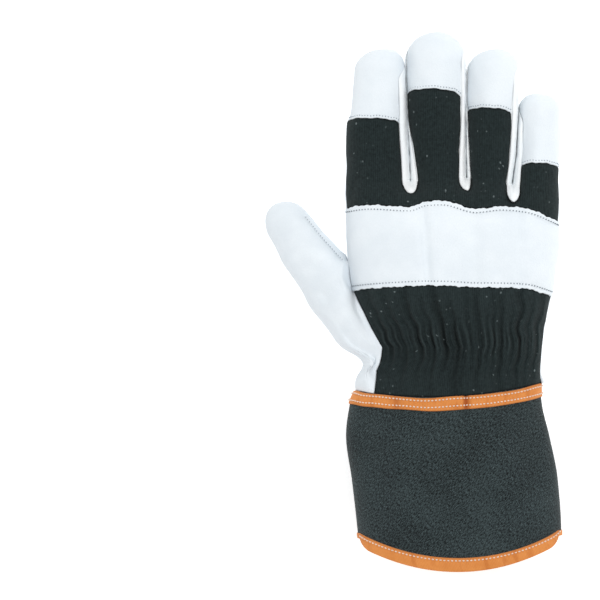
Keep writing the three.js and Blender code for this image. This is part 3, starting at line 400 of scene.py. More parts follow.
def sides(strip, x, y, inset):
    """How far the section has risen at x, from 0 at its edges to 1 over its flat: the product of a
    quarter circle at each outline and at each slit."""
    side = section("side", y) * KNUCKLE_WIDTH - inset
    from_left = x - border("left", y) - inset
    from_right = border("right", y) - x - inset
    share = rounded(from_left / side) * rounded(from_right / side)
    for k, centre in enumerate(SLIT_CENTRE):
        off = np.hypot(x - border(BORDERS[k + 1], np.maximum(y, centre)), np.minimum(y, centre) - centre)
        shared = (strip_edges(k, centre, 0)[1] + strip_edges(k + 1, centre, 0)[1]) / 2
        own = shared if strip == WHOLE else strip_edges(strip, y, 0)[1]
        across = lerp(shared, own, smooth((y - centre) / FINGER_DEPTH))
        share = share * rounded((off - SLIT_HALF - inset) / (across - inset))
    return share


def skin(strip, psi, row_y, inset=0.0, relief=None):
    """Point of the filled form. psi runs from -90 degrees at the left edge over the back to 90 at the
    right edge, and on under the palm to 270. The height is half the depth times the rise of the sides,
    the fingertips close on an oval that leans to one side, and the underside is pressed flat where it
    would sag below the surface. inset is the depth below the form, relief(x, y) what is added over the
    back."""
    psi, row_y = np.broadcast_arrays(np.asarray(psi, float), np.asarray(row_y, float))
    left_of_tip, y, girth, lean = 1.0, row_y, 1.0, 0.0
    if strip != WHOLE:
        reach = strip_edges(strip, FINGER_TIP[strip], 0)[1]
        t = np.clip((row_y - (FINGER_TIP[strip] - reach)) / reach, 0, 1)
        left_of_tip = np.sqrt(np.maximum(0, 1 - t ** FINGER["blunt"][strip]))
        y = row_y - t * inset
        girth = lerp(1, FINGER["girth"][strip], smooth((y - SLIT_CENTRE.max()) / FINGER_DEPTH))
        lean = FINGER["lean"][strip] * (1 - left_of_tip)
    middle, half = strip_edges(strip, y, inset)
    flat_x = middle + half * np.sin(psi)
    risen = sides(strip, flat_x, y, inset) * left_of_tip
    depth = section("depth", y) * girth
    floor = COVER * over_cuff(y)
    crown = depth / 2 - inset
    lift = 0 if relief is None else relief(flat_x, y)
    above = floor + depth / 2 + (crown + lift) * risen
    sag = floor + depth / 2 - (crown + PRESS) * risen - floor - inset
    below = floor + inset + (sag + np.sqrt(sag ** 2 + (SEAT * risen) ** 2)) / 2
    z = np.where(np.cos(psi) > -NEARLY_NONE, above, below)
    return np.stack([middle + half * (np.sin(psi) * left_of_tip + lean), y, z], -1)


def between(left, right, u):
    """Angles from left to right: their sines are spread as the cosine of a half turn is."""
    return np.arcsin(lerp(np.sin(left), np.sin(right), (1 - np.cos(np.pi * u)) / 2))


def underneath(lean):
    """The angle under the palm that lies opposite an angle on the back."""
    return np.pi + np.clip(lean, -EDGE, EDGE)


def settle(strip, psi_at, line_at):
    """Where the angle psi_at(y) meets the line line_at(x): found by going to and fro six times."""
    y = line_at(0.0)
    for _ in range(6):
        middle, half = strip_edges(strip, y, 0)
        y = line_at(middle + half * np.sin(psi_at(y)))
    return psi_at(y) + 0 * y, y + 0 * psi_at(y)


def side_seam(strip, y):
    """Angle of the side seam on the back."""
    width = section("side", y) * KNUCKLE_WIDTH * (1 - np.sqrt(1 - SIDE_SEAM ** 2))
    return np.arcsin(np.clip(1 - width / strip_edges(strip, y, 0)[1], 0, 1))


# Rows up a finger: shares from the slit to the fingertip's seam, then shares from there to the tip
TONGUE_ROWS = np.array([0, 0.04, 0.11, 0.23, 0.44, 0.72, 1])
CAP_ROWS = np.array([0, 0.3, 0.58, 0.8, 0.94, 1])
CAP_START = len(TONGUE_ROWS) - 1
WALL_TOP = CAP_START + 3


def cap_edge(i, sine):
    """Y of the fingertip's seam, lower at both ends and most so on the right, and slightly uneven."""
    uneven = CAP_WAVER * (np.sin(11 * sine + 2 * i) + 0.6 * np.sin(23 * sine + i))
    sag = FINGER["sag"][i] * FINGER_LENGTH * sine ** 2
    return FINGER_TIP[i] - CAP_LENGTH[i] - sag - CAP_SLANT * sine + uneven


def finger_row(i, apex, sine, r):
    """Y of row r up finger i: from the seam's apex to the fingertip seam, and on to the tip."""
    cap = cap_edge(i, sine)
    low = lerp(apex, cap, np.interp(r, np.arange(CAP_START + 1), TONGUE_ROWS))
    high = lerp(cap, FINGER_TIP[i], np.interp(r - CAP_START, np.arange(len(CAP_ROWS)), CAP_ROWS))
    return np.where(np.asarray(r) <= CAP_START, low, high)


def wall_end(i):
    return finger_row(i, HAND_LENGTH, 1, WALL_TOP)


def wall_seam(i, side, palm_side, y):
    """Angle of the seam between finger i and its sidewall, on the left (-1) or right (1)."""
    k = i - 1 if side < 0 else i
    apex = (PALM_APEX if palm_side else SLIT_APEX)[k]
    at = "_left" if side < 0 else "_right"
    foot, top = [SEAM[place + at][i] for place in (("palm", "palm") if palm_side else ("foot", "back"))]
    share = lerp(foot, top, smooth((y - apex) / FOOT_RUN))
    closing = smooth((wall_end(i) - y) / (SEAM_ROUND * 1.5))
    return np.arcsin(1 - (1 - share) * rounded((y - apex) / SEAM_ROUND) * closing)


def back_edge(i, side, y):
    if (i == 0 and side < 0) or (i == LAST and side > 0):
        return side_seam(i, y)
    return wall_seam(i, side, False, y)


def slits_of(i):
    """The slits on the left and on the right of finger i, or the nearest one twice."""
    return max(0, i - 1), min(2, i)


def back_apex(i, u):
    left, right = slits_of(i)
    return lerp(SLIT_APEX[left], SLIT_APEX[right], u)


def front_apex(i, u):
    left, right = slits_of(i)
    return lerp(PALM_APEX[right], PALM_APEX[left], u)


def across_at(x, y):
    """How far across the glove x lies at y, from -1 at its left edge to 1 at its right edge."""
    middle, half = strip_edges(WHOLE, y, 0)
    return np.clip((x - middle) / half, -1, 1)


def wrist_line(x):
    across = across_at(x, 0)
    return WRIST_RISE + WRIST_SAG * across ** 2 + WRIST_SLANT * across


def hem_corner(x):
    """How far the hem's round corners rise at x: an arc of radius HEM_CORNER, just short of its end."""
    middle, half = strip_edges(WHOLE, -CUFF_LENGTH, 0)
    past = 0.97 * np.clip((np.abs(x - middle) - half) / HEM_CORNER + 1, 0, 1)
    return HEM_CORNER * (1 - np.sqrt(1 - past ** 2))


def hem_line(x):
    """Hem at x: a parabola between round corners."""
    across = across_at(x, -CUFF_LENGTH)
    return -CUFF_LENGTH + HEM_SAG * across ** 2 + HEM_SLANT * across + hem_corner(x)


def strap_edge(column, x):
    return STRAP_WIDTH * curve(STRAP_EDGE["at"], STRAP_EDGE[column], x / KNUCKLE_WIDTH + MIDLINE)


def strap_lower(x):
    return STRAP_SEAT + strap_edge("lower", x)


def strap_upper(x):
    return STRAP_SEAT + STRAP_WIDTH + strap_edge("upper", x)


def lean_at(strip, x, y):
    """Angle on the back of a strip's section at x."""
    middle, half = strip_edges(strip, y, 0)
    return np.arcsin(np.clip((x - middle) / half, -1, 1))


def thumb_seam_x(seam, y):
    return border("left", y) + KNUCKLE_WIDTH * np.interp(y / HAND_LENGTH, seam["at"], seam["inside"])


def whole_angle(strip, psi, y):
    """The angle in the whole section of a point that has angle psi in a strip."""
    lean = lean_at(WHOLE, skin(strip, psi, y)[..., 0], y)
    return np.where(np.cos(psi) > 0, lean, np.pi - lean)


# Folds of the form

def strap_relief(x, y):
    """Valleys that the gaps between the knuckles press into the strap: bells across, faded along Y."""
    up = (y - STRAP_SEAT) / STRAP_WIDTH
    fade = smooth((up + 0.3) / 0.4) * (1 - smooth((up - 1) / 0.4))
    total = 0
    for at, lean, width, depth in zip(*STRAP_FOLD.values()):
        off = (x / KNUCKLE_WIDTH + MIDLINE - at - lean * (1 - up)) / width
        total = total - depth * HAND_DEPTH * fade * bell(off)
    return total


def creases(table, x, y):
    """Valleys along straight lines in plan: a bell across each, faded at its ends."""
    total = 0
    for from_x, from_y, to_x, to_y, width, depth in zip(*table.values()):
        start = np.array([(from_x - MIDLINE) * KNUCKLE_WIDTH, from_y * HAND_LENGTH])
        run = np.array([(to_x - MIDLINE) * KNUCKLE_WIDTH, to_y * HAND_LENGTH]) - start
        length = np.hypot(*run)
        share = ((x - start[0]) * run[0] + (y - start[1]) * run[1]) / length ** 2
        off = ((x - start[0]) * run[1] - (y - start[1]) * run[0]) / length
        ends = smooth((0.5 - np.abs(share - 0.5)) * 4 + 0.5)
        total = total - CREASE_DEPTH * depth * ends * bell(off / (CREASE_WIDTH * width))
    return total


# Leather and cloth as closed shells

MERGE = 0.002
MERGE_SHIFT = 0.3141  # keeps points on round millimetres away from the limit between two cells
DIMPLE_WIDTH = 0.75
PULL_WIDTH = 2.2


def nearest(points, line):
    """Distance from each point to the nearest point of a dense line, from the lengths and the dot
    products of both."""
    found = np.empty(len(points))
    square = (line ** 2).sum(-1)
    for start in range(0, len(points), 4000):
        part = points[start:start + 4000]
        gaps = (part ** 2).sum(-1)[:, None] + square - 2 * part @ line.T
        found[start:start + 4000] = np.sqrt(np.maximum(0, gaps.min(1)))
    return found


def flat_pattern(points):
    """Place of each point on the uncut cloth: its lengths along its row and up its column."""
    along_row = np.cumsum(np.linalg.norm(np.diff(points, axis=1, prepend=points[:, :1]), axis=-1), 1)
    up_column = np.cumsum(np.linalg.norm(np.diff(points, axis=0, prepend=points[:1]), axis=-1), 0)
    middle = points.shape[1] // 2
    u = along_row - along_row[:, middle, None] + points[:, middle, None, 0]
    return np.stack([u, up_column + points[:1, :, 1]], -1)


def normals_of(points, faces):
    """Normal at each point: the sum of the cross products of the diagonals of the faces round it."""
    cross = np.cross(points[faces[:, 2]] - points[faces[:, 0]], points[faces[:, 3]] - points[faces[:, 1]])
    summed = [np.bincount(faces.ravel(), np.repeat(cross[:, n], 4), len(points)) for n in range(3)]
    summed = np.stack(summed, -1)
    return summed / np.maximum(np.linalg.norm(summed, axis=-1, keepdims=True), 1e-9)


def add_mesh(name, points, faces, finish, nodes=(), uv=None, marks=None):
    """A mesh piece in metres that rides on the glove. Faces have four corners; two corners that are the
    same point make a triangle."""
    differ = faces != np.roll(faces, -1, 1)
    total = differ.sum(1)
    kept = total > 2
    faces, differ, total = faces[kept], differ[kept], total[kept]
    mesh = bpy.data.meshes.new(name)
    mesh.vertices.add(len(points))
    mesh.vertices.foreach_set("co", ((points - DRAFT_MIDDLE) * MM).astype(np.float32).ravel())
    mesh.loops.add(int(total.sum()))
    mesh.loops.foreach_set("vertex_index", faces[differ].astype(np.int32))
    mesh.polygons.add(len(faces))
    mesh.polygons.foreach_set("loop_start", np.concatenate(([0], np.cumsum(total)[:-1])).astype(np.int32))
    mesh.polygons.foreach_set("loop_total", total.astype(np.int32))
    mesh.polygons.foreach_set("use_smooth", np.ones(len(faces), bool))
    mesh.update(calc_edges=True)
    if uv is not None:
        layer = mesh.uv_layers.new(name="cloth")
        layer.data.foreach_set("uv", uv[kept][differ].astype(np.float32).ravel())
    for mark, values in (marks or {}).items():
        mesh.attributes.new(mark, "FLOAT", "POINT").data.foreach_set("value", values.astype(np.float32))
    mesh.materials.append(finish)
    piece = bpy.data.objects.new(name, mesh)
    bpy.context.scene.collection.objects.link(piece)
    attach(piece, "root")
    if nodes:
        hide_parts(*nodes)
    return piece


class Shell:
    """Leather or cloth of some thickness, cut to shape. Patches of outer points, with the inner points
    below them, are joined where they meet, and each free edge gets a wall and is rolled over."""

    def __init__(self):
        self.outer = []
        self.inner = []
        self.faces = []
        self.flat = []
        self.count = 0

    def patch(self, outer, inner):
        """Rows run up and columns to the right, seen from outside."""
        rows, columns = outer.shape[:2]
        index = np.arange(rows * columns).reshape(rows, columns) + self.count
        corners = [index[:-1, :-1], index[:-1, 1:], index[1:, 1:], index[1:, :-1]]
        self.faces.append(np.stack(corners, -1).reshape(-1, 4))
        self.outer.append(outer.reshape(-1, 3))
        self.inner.append(inner.reshape(-1, 3))
        self.flat.append(flat_pattern(outer).reshape(-1, 2))
        self.count += rows * columns
        return self

    def skins(self, strip, psi, y, outer=0.0, inner=LEATHER, relief=None):
        """A patch between two depths of the filled form."""
        return self.patch(skin(strip, psi, y, outer, relief), skin(strip, psi, y, inner, relief))

    def close(self, name, finish, slot, nodes, swell=None, roll=0.6, seams=(), dimple=0.0, pull=0.0,
              fold=None):
        """Moves both layers by swell(points) along the normal, presses a dimple and a wider pull at each
        stitch of the seams, lowers the edges on a quarter circle of radius `roll`, and makes the piece.
        fold(x, y) says how far each point is on a ridge (above 0) or in a valley."""
        faces = np.concatenate(self.faces)
        outer = np.concatenate(self.outer)
        cells = np.round(outer / MERGE + MERGE_SHIFT).astype(np.int64)
        _, first, index = np.unique(cells, axis=0, return_index=True, return_inverse=True)
        uv = np.concatenate(self.flat)[faces]
        faces = index.ravel()[faces]
        outer, inner = outer[first], np.concatenate(self.inner)[first]
        start, end = faces.ravel(), np.roll(faces, -1, 1).ravel()
        count = len(outer)
        free = (start != end) & ~np.isin(start * count + end, end * count + start)
        start, end = start[free], end[free]
        rim = nearest(outer, outer[np.unique(start)])
        normal = normals_of(outer, faces)
        moved = np.zeros(count) if swell is None else swell(outer)
        for seam in seams:
            off = nearest(outer, seam.spots)
            moved = moved - dimple * bell(off / DIMPLE_WIDTH) - pull * bell(off / PULL_WIDTH)
        drop = roll * (1 - rounded(rim / max(roll, 0.01)))
        outer = outer + normal * (moved - drop)[:, None]
        inner = inner + normal * moved[:, None]
        outer[:, 2] = np.maximum(outer[:, 2], 0)
        inner[:, 2] = np.maximum(inner[:, 2], INNER_SEAT)
        walls = np.stack([start, start + count, end + count, end], -1)
        both = np.concatenate([faces, faces[:, ::-1] + count, walls])
        uv = np.concatenate([uv, uv[:, ::-1], np.zeros((len(walls), 4, 2))])
        marks = {"rim": np.concatenate([rim, np.zeros(count)])}
        if fold:
            marks["fold"] = np.tile(fold(outer[:, 0], outer[:, 1]), 2)
        return add_mesh(name, np.concatenate([outer, inner]), both, finish, nodes, uv, marks)


# Finishes

class Wire:
    """A node's output in a finish. Arithmetic on it adds Math nodes."""

    def __init__(self, finish, socket):
        self.finish = finish
        self.socket = socket

    def maths(self, operation, *values):
        return self.finish.node("ShaderNodeMath", {"operation": operation}, dict(enumerate(values)))

    def __add__(self, other):
        return self.maths("ADD", self, other)

    def __sub__(self, other):
        return self.maths("SUBTRACT", self, other)

    def __rsub__(self, other):
        return self.maths("SUBTRACT", other, self)

    def __mul__(self, other):
        return self.maths("MULTIPLY", self, other)

    def __pow__(self, other):
        return self.maths("POWER", self, other)

    __radd__ = __add__
    __rmul__ = __mul__

    def clamped(self):
        return self.maths("MINIMUM", self.maths("MAXIMUM", self, 0.0), 1.0)

    def sine(self):
        return self.maths("SINE", self)

    def step(self, low, high):
        """Smooth rise from 0 to 1 between two values."""
        return self.finish.node("ShaderNodeMapRange", {"interpolation_type": "SMOOTHSTEP"},
                                {"Value": self, "From Min": low, "From Max": high})


class Finish:
    """A procedural finish: a Principled shader whose constants are set on its own sockets."""

    def __init__(self, name, **constants):
        self.material = bpy.data.materials.new(name)
        self.material.use_nodes = True
        self.tree = self.material.node_tree
        self.shader = self.tree.nodes["Principled BSDF"]
        for socket, value in constants.items():
            self.shader.inputs[socket.replace("_", " ")].default_value = value

    def node(self, kind, settings=None, sockets=None, output=0):
        """Adds a node of a kind with its settings, then its sockets' values or links. Returns an output."""
        node = self.tree.nodes.new(kind)
        for setting, value in (settings or {}).items():
            setattr(node, setting, value)
        for socket, value in (sockets or {}).items():
            self.feed(node.inputs[socket], value)
        return Wire(self, node.outputs[output])

    def feed(self, socket, value):
        if isinstance(value, Wire):
            self.tree.links.new(value.socket, socket)
        else:
            socket.default_value = value

    def place(self):
        """Object coordinates in millimetres."""
        spot = self.node("ShaderNodeTexCoord", output=3)
        return self.node("ShaderNodeVectorMath", {"operation": "SCALE"}, {0: spot, "Scale": 1 / MM})

    def cloth(self):
        """Coordinates on the uncut cloth in millimetres."""
        return self.node("ShaderNodeUVMap", {"uv_map": "cloth"})

    def parts(self, vector):
        split = self.node("ShaderNodeSeparateXYZ", None, {0: vector})
        node = split.socket.node
        return [Wire(self, node.outputs[n]) for n in range(3)]

    def join(self, x, y, z=0.0):
        return self.node("ShaderNodeCombineXYZ", None, {0: x, 1: y, 2: z})

    def noise(self, vector, size, detail=2.0, rough=0.5):
        """Cloudy noise from 0 to 1, of the given grain size in millimetres."""
        return self.node("ShaderNodeTexNoise", None,
                         {"Vector": vector, "Scale": 1 / size, "Detail": detail, "Roughness": rough})

    def cells(self, vector, size, feature="F1"):
        """Distance to scattered cells' middles, or edges, of the given size in millimetres."""
        return self.node("ShaderNodeTexVoronoi", {"feature": feature}, {"Vector": vector, "Scale": 1 / size})

    def mark(self, name):
        """A number that the piece's points carry."""
        return self.node("ShaderNodeAttribute", {"attribute_name": name}, output=2)

    def mix(self, share, a, b):
        """Colour b over colour a by a share."""
        return self.node("ShaderNodeMix", {"data_type": "RGBA", "clamp_factor": True},
                         {0: share, 6: a, 7: b}, 2)

    def shine(self, colour, roughness=None, height=None):
        """Feeds the shader. height is in millimetres."""
        self.feed(self.shader.inputs["Base Color"], colour)
        if roughness is not None:
            self.feed(self.shader.inputs["Roughness"], roughness)
        if height is not None:
            normal = self.node("ShaderNodeBump", None, {"Height": height, "Distance": MM, "Strength": 1.0})
            self.feed(self.shader.inputs["Normal"], normal)
        return self.material


def rgb(red, green, blue):
    """A colour as it looks on a screen, from 0 to 255, as the shader takes it."""
    shares = np.array([red, green, blue]) / 255
    linear = np.where(shares <= 0.04045, shares / 12.92, ((shares + 0.055) / 1.055) ** 2.4)
    return (*linear.tolist(), 1.0)


def leather_finish(name, tone, shade, grain=1.0, flank_shade_strength=1.0):
    """White full-grain leather: cloudy tone, fine pores, small wrinkles between them, a paler cut edge,
    and painted shade: a greyer tone on steep flanks, most so on those that face the thumb's side, away from
    the key light."""
    finish = Finish(name, IOR=1.45, Sheen_Weight=0.12, Sheen_Roughness=0.4)
    place = finish.place()
    cloud = finish.noise(place, 34, 3)
    patch = finish.noise(place, 9, 2)
    pores = finish.cells(place, 0.62)
    wrinkle = finish.cells(place, 1.5, "DISTANCE_TO_EDGE").step(0, 0.16)
    fine = finish.noise(place, 0.45, 3)
    long_grain = finish.noise(place, 3.4, 3)
    colour = finish.mix((cloud * 0.6 + patch * 0.4).step(0.34, 0.66), rgb(*shade), rgb(*tone))
    colour = finish.mix((0.32 - pores).clamped() * 0.5, colour, rgb(*(np.array(shade) * 0.93)))
    colour = finish.mix((1 - wrinkle) * 0.1, colour, rgb(*(np.array(shade) * 0.95)))
    edge = 1 - finish.mark("rim").step(0, 0.35)
    colour = finish.mix(edge * 0.35, colour, rgb(*tone))
    # Painted shade: steep flanks are greyer, more so those facing -X, away from the key light.
    slope_x, _, slope_z = finish.parts(finish.node("ShaderNodeTexCoord", output=1))
    painted_flank_shade = (1 - slope_z * slope_z) ** 2 * (0.55 * flank_shade_strength - slope_x * (0.35 * flank_shade_strength))
    colour = finish.mix(painted_flank_shade, colour, rgb(*(np.array(shade) * 0.9)))
    height = pores.step(0, 0.5) * (0.035 * grain) + wrinkle * (0.03 * grain)
    height = height + fine * (0.02 * grain) + long_grain * 0.05
    roughness = 0.5 + fine * 0.12 + (cloud - 0.5) * 0.16
    return finish.shine(colour, roughness, height)


def cotton_finish():
    """Black cotton drill: fine ribs along the glove crossed by finer threads, painted shade in the valleys
    of its folds and along its cut edges, paler ridges that are partly faded and partly painted light, and a
    little white lint."""
    finish = Finish("black_drill", IOR=1.4, Sheen_Weight=0.06, Sheen_Roughness=0.55,
                    Specular_IOR_Level=0.15)
    cloth = finish.cloth()
    u, v, _ = finish.parts(cloth)
    place = finish.place()
    drift = finish.noise(cloth, 7, 2) * 1.2
    rib = ((u + drift * 0.35) * (TURN / 0.92)).sine() * 0.5 + 0.5
    weft = ((v + rib * 0.18) * (TURN / 0.55)).sine() * 0.5 + 0.5
    yarn = finish.noise(finish.join(u * 2.2, v * 0.35), 1.0, 3)
    fuzz = finish.noise(place, 0.7, 4, 0.7)
    cloud = finish.noise(place, 22, 3)
    mottle = finish.noise(place, 1.6, 3, 0.6)
    tone = (rib * 0.22 + weft * 0.1 + yarn * 0.45 + fuzz * 0.7 + mottle * 0.7 - 0.68).clamped()
    colour = finish.mix(tone, rgb(12, 19, 20), rgb(50, 62, 63))
    colour = finish.mix(cloud.step(0.4, 0.75) * 0.25, colour, rgb(40, 50, 50))
    # Painted shade in the folds' valleys; the paler ridges are partly fading, partly painted light.
    fold = finish.mark("fold")
    colour = finish.mix((fold * -0.7).clamped(), colour, rgb(8, 13, 13))
    colour = finish.mix((fold * 0.9).clamped(), colour, rgb(64, 76, 77))
    lint = finish.cells(finish.join(u, v + finish.noise(place, 1.0) * 1.4), 4.4)
    fleck = (1 - lint.step(0.05, 0.16)) * finish.noise(place, 12, 2).step(0.4, 0.56)
    colour = finish.mix(fleck * 0.6, colour, rgb(128, 140, 141))
    # Painted shade: the drill darkens within about a millimetre of its cut edges, where it runs under the
    # strap and meets the other pieces.
    colour = finish.mix((1 - finish.mark("rim").step(0.2, 1.3)) * 0.75, colour, rgb(8, 12, 12))
    height = rib * 0.09 + weft * 0.03 + fuzz * 0.07 + yarn * 0.05
    return finish.shine(colour, 0.86 + fuzz * 0.1, height)


def denim_finish():
    """Charcoal rubberised denim: short slanting strokes of twill, broken up by the warp, with cloudy
    wear and a few pale slubs."""
    finish = Finish("charcoal_denim", IOR=1.42, Sheen_Weight=0.08, Sheen_Roughness=0.5,
                    Specular_IOR_Level=0.3)
    u, v, _ = finish.parts(finish.cloth())
    place = finish.place()
    twill = finish.noise(finish.join((u + v) * 0.5, (u - v) * 1.6), 1.0, 3, 0.6)
    across = finish.noise(finish.join((u + v) * 1.4, (u - v) * 0.6, 7.0), 1.0, 2, 0.6)
    warp = finish.noise(finish.join(u * 2.3, v * 0.8, 3.0), 1.0, 2, 0.6)
    slub = finish.noise(finish.join((u + v) * 0.9, (u - v) * 1.7, 9.0), 1.0, 2, 0.6)
    cloud = finish.noise(place, 22, 4)
    salt = (twill * 2.0 + across * 0.3 + warp * 0.4 - 0.88 + (cloud - 0.5) * 0.35).clamped()
    colour = finish.mix(salt.step(0.18, 0.84), rgb(5, 11, 12), rgb(66, 79, 81))
    colour = finish.mix(slub.step(0.6, 0.72) * 0.75, colour, rgb(110, 124, 128))
    height = twill * 0.12 + warp * 0.09 + across * 0.06 + slub * 0.06
    return finish.shine(colour, 0.82 + warp * 0.12, height)


def tape_finish():
    """Orange binding tape: close woven ribs across it, cloudy, with darker bands of painted shade where
    small folds would crumple it, painted shade in its tucks, and browner edges."""
    finish = Finish("orange_tape", IOR=1.45, Sheen_Weight=0.1, Sheen_Roughness=0.4,
                    Specular_IOR_Level=0.35)
    u, v, _ = finish.parts(finish.cloth())
    place = finish.place()
    rib = (u * (TURN / 0.8)).sine() * 0.5 + 0.5
    weft = (v * (TURN / 0.62)).sine() * 0.5 + 0.5
    yarn = finish.noise(finish.join(u * 1.8, v * 0.7), 1.0, 3)
    cloud = finish.noise(place, 8, 3)
    woven = (rib * 0.3 + weft * 0.2 + yarn * 0.6 - 0.1).clamped()
    colour = finish.mix(woven, rgb(216, 128, 56), rgb(240, 162, 90))
    colour = finish.mix(cloud.step(0.42, 0.72) * 0.4, colour, rgb(206, 122, 52))
    # Painted shade: darker bands across the tape stand in for the shade of small folds that the form does
    # not have.
    crumple_shade = finish.noise(finish.join(u * 0.22, v * 0.06), 1.0, 2)
    colour = finish.mix(crumple_shade.step(0.52, 0.68) * 0.42, colour, rgb(192, 104, 38))
    # Painted shade in the tucks.
    colour = finish.mix((finish.mark("fold") * -0.7).clamped(), colour, rgb(172, 84, 30))
    colour = finish.mix((1 - finish.mark("rim").step(0, 1.1)) * 0.55, colour, rgb(186, 108, 52))
    return finish.shine(colour, 0.7 + yarn * 0.12, rib * 0.08 + weft * 0.05 + yarn * 0.05)


def thread_finish(name, tone, shade):
    """Twisted sewing thread: thin slanting bands of shade."""
    finish = Finish(name, IOR=1.45, Sheen_Weight=0.2, Sheen_Roughness=0.4)
    place = finish.place()
    x, y, z = finish.parts(place)
    twist = ((x + y + z) * (TURN / 0.42)).sine() * 0.5 + 0.5
    flank_shade_strength = finish.noise(place, 2.5, 2)
    colour = finish.mix((twist * 0.5 + flank_shade_strength * 0.5).clamped(), rgb(*shade), rgb(*tone))
    return finish.shine(colour, 0.6 + flank_shade_strength * 0.2, twist * 0.05)


WHITE_LEATHER = leather_finish("white_leather", (240, 247, 252), (233, 241, 247))
THUMB_LEATHER = leather_finish("thumb_leather", (240, 247, 252), (230, 238, 244), 1.1)
# Painted light: the sidewalls get a paler copy of the white leather, without the painted flank shade, to
# lift the shade deep between the fingers.
LIT_WALL_LEATHER = leather_finish("sidewall_leather_painted_light", (251, 254, 255), (246, 251, 254), 1.0, 0.0)
BLACK_DRILL = cotton_finish()
CHARCOAL_DENIM = denim_finish()
ORANGE_TAPE = tape_finish()
WHITE_THREAD = thread_finish("white_thread", (250, 234, 220), (240, 206, 180))
# Painted shade: the strap's stitches are white thread on the real glove; this grey stands in for the shade
# along them.
GREY_THREAD = thread_finish("grey_thread", (150, 158, 166), (112, 122, 130))
PALE_THREAD = thread_finish("pale_thread", (192, 200, 206), (156, 166, 174))


# Stitches

def even_line(points, spacing):
    """Points at an even spacing along a dense line, with what goes with each of them."""
    length = np.concatenate(([0], np.cumsum(np.linalg.norm(np.diff(points[:, :3], axis=0), axis=1))))
    at = np.arange(spacing / 2, length[-1], spacing)
    return np.stack([np.interp(at, length, points[:, n]) for n in range(points.shape[1])], -1)


class Seam:
    """A row of stitches along a line that lies on the form. line(lift) gives its points at a height."""

    def __init__(self, line, spacing, lift=0.0):
        on, over = line(lift), line(lift + 1.0)
        spots = even_line(np.concatenate([on, over], 1), spacing)
        self.spots, self.up = spots[:, :3], spots[:, 3:] - spots[:, :3]
        self.spacing = spacing
        self.run = np.gradient(self.spots, axis=0)
        self.run /= np.linalg.norm(self.run, axis=1, keepdims=True)
        self.up -= (self.up * self.run).sum(1, keepdims=True) * self.run
        self.up /= np.linalg.norm(self.up, axis=1, keepdims=True)


# Rings of a stitch: place along it, girth in the thread's widths, and how deep it is sunk
RING = columns_of("at girth sunk", [
    [-0.5, 0.35, 0.9],
    [-0.32, 0.85, 0.25],
    [0, 1, 0],
    [0.32, 0.85, 0.25],
    [0.5, 0.35, 0.9],
])
RING_POINTS = 6
STITCH_PROUD = 0.3  # how far a stitch stands up, in the thread's widths
STITCH_SWAY = 0.05


def stitch_faces():
    """Walls between the rings of one stitch, and two faces that close each end."""
    ring = np.arange(RING_POINTS)
    after = np.roll(ring, -1)
    low = np.arange(len(RING["at"]) - 1)[:, None] * RING_POINTS
    high = low + RING_POINTS
    walls = np.stack([ring + low, ring + high, after + high, after + low], -1).reshape(-1, 4)
    cap = np.array([[0, 1, 2, 3], [0, 3, 4, 5]])
    return np.concatenate([walls, cap, high[-1] + cap[:, ::-1]])


def add_stitches(name, seams, finish, length, width, sink):
    """Each stitch is a short thread: rings of six points along the seam, thin and sunk at both ends and
    full in the middle. length is the stitch's share of the spacing."""
    one = stitch_faces()
    angle = np.arange(RING_POINTS) * TURN / RING_POINTS
    half = (width / 2 * RING["girth"])[:, None]
    height = half * np.sin(angle) - (RING["sunk"] * width + sink - width * STITCH_PROUD)[:, None]
    points, faces, count = [], [], 0
    for seam in seams:
        number = len(seam.spots)
        side = np.cross(seam.up, seam.run)
        run = seam.run + side * random.normal(0, STITCH_SWAY, (number, 1))
        long = RING["at"] * length * seam.spacing
        rings = (seam.spots[:, None, None] + run[:, None, None] * long[:, None, None]
                 + side[:, None, None] * (half * np.cos(angle))[..., None]
                 + seam.up[:, None, None] * height[..., None])
        rings[..., 2] = np.maximum(rings[..., 2], 0)
        points.append(rings.reshape(-1, 3))
        size = RING_POINTS * len(RING["at"])
        shifts = np.arange(number) * size + count
        faces.append((one[None] + shifts[:, None, None]).reshape(-1, 4))
        count += number * size
    return add_mesh(name, np.concatenate(points), np.concatenate(faces), finish)


def skin_line(strip, psi, y, relief=None):
    """A line on the form, for a seam."""
    return lambda lift: skin(strip, psi, y, -lift, relief)


# Back of the hand

LINE_COUNT = 400
FINGER_COLUMNS = spaced(40, 0.9)
wrinkles = Ripple(5.5)
swells = Ripple(26)
dents = Ripple(13)


def soft_leather(points):
    """Slight unevenness of filled leather."""
    return 0.22 * swells(points) + 0.12 * dents(points)


def soft_cloth(points):
    return 0.18 * swells(points) + 0.12 * dents(points) + 0.05 * wrinkles(points)


def strap_side(strip, side, y):
    if strip == (0 if side < 0 else LAST):
        return side * side_seam(strip, y)
    return side * QUARTER


def back_upper():
    """Upper back: cotton from the strap to the finger seams, and a tongue up each finger."""
    shell = Shell()
    for i in range(4):
        u, v = np.meshgrid(FINGER_COLUMNS, spaced(7, 0.8))
        psi, y = settle(i, lambda at: between(strap_side(i, -1, at), strap_side(i, 1, at), u),
                        lambda x: lerp(strap_upper(x), back_apex(i, u), v))
        shell.skins(i, psi, y, 0, COTTON, strap_relief)
        u, r = np.meshgrid(FINGER_COLUMNS, spaced(38, 0.9) * CAP_START)
        low, high = back_apex(i, 0), back_apex(i, 1)
        left = np.where(r > 0, -back_edge(i, -1, finger_row(i, low, 1, r)), strap_side(i, -1, low))
        right = np.where(r > 0, back_edge(i, 1, finger_row(i, high, 1, r)), strap_side(i, 1, high))
        y = finger_row(i, back_apex(i, u), 2 * u - 1, r)
        shell.skins(i, between(left, right, u), y, 0, COTTON, strap_relief)
    return shell


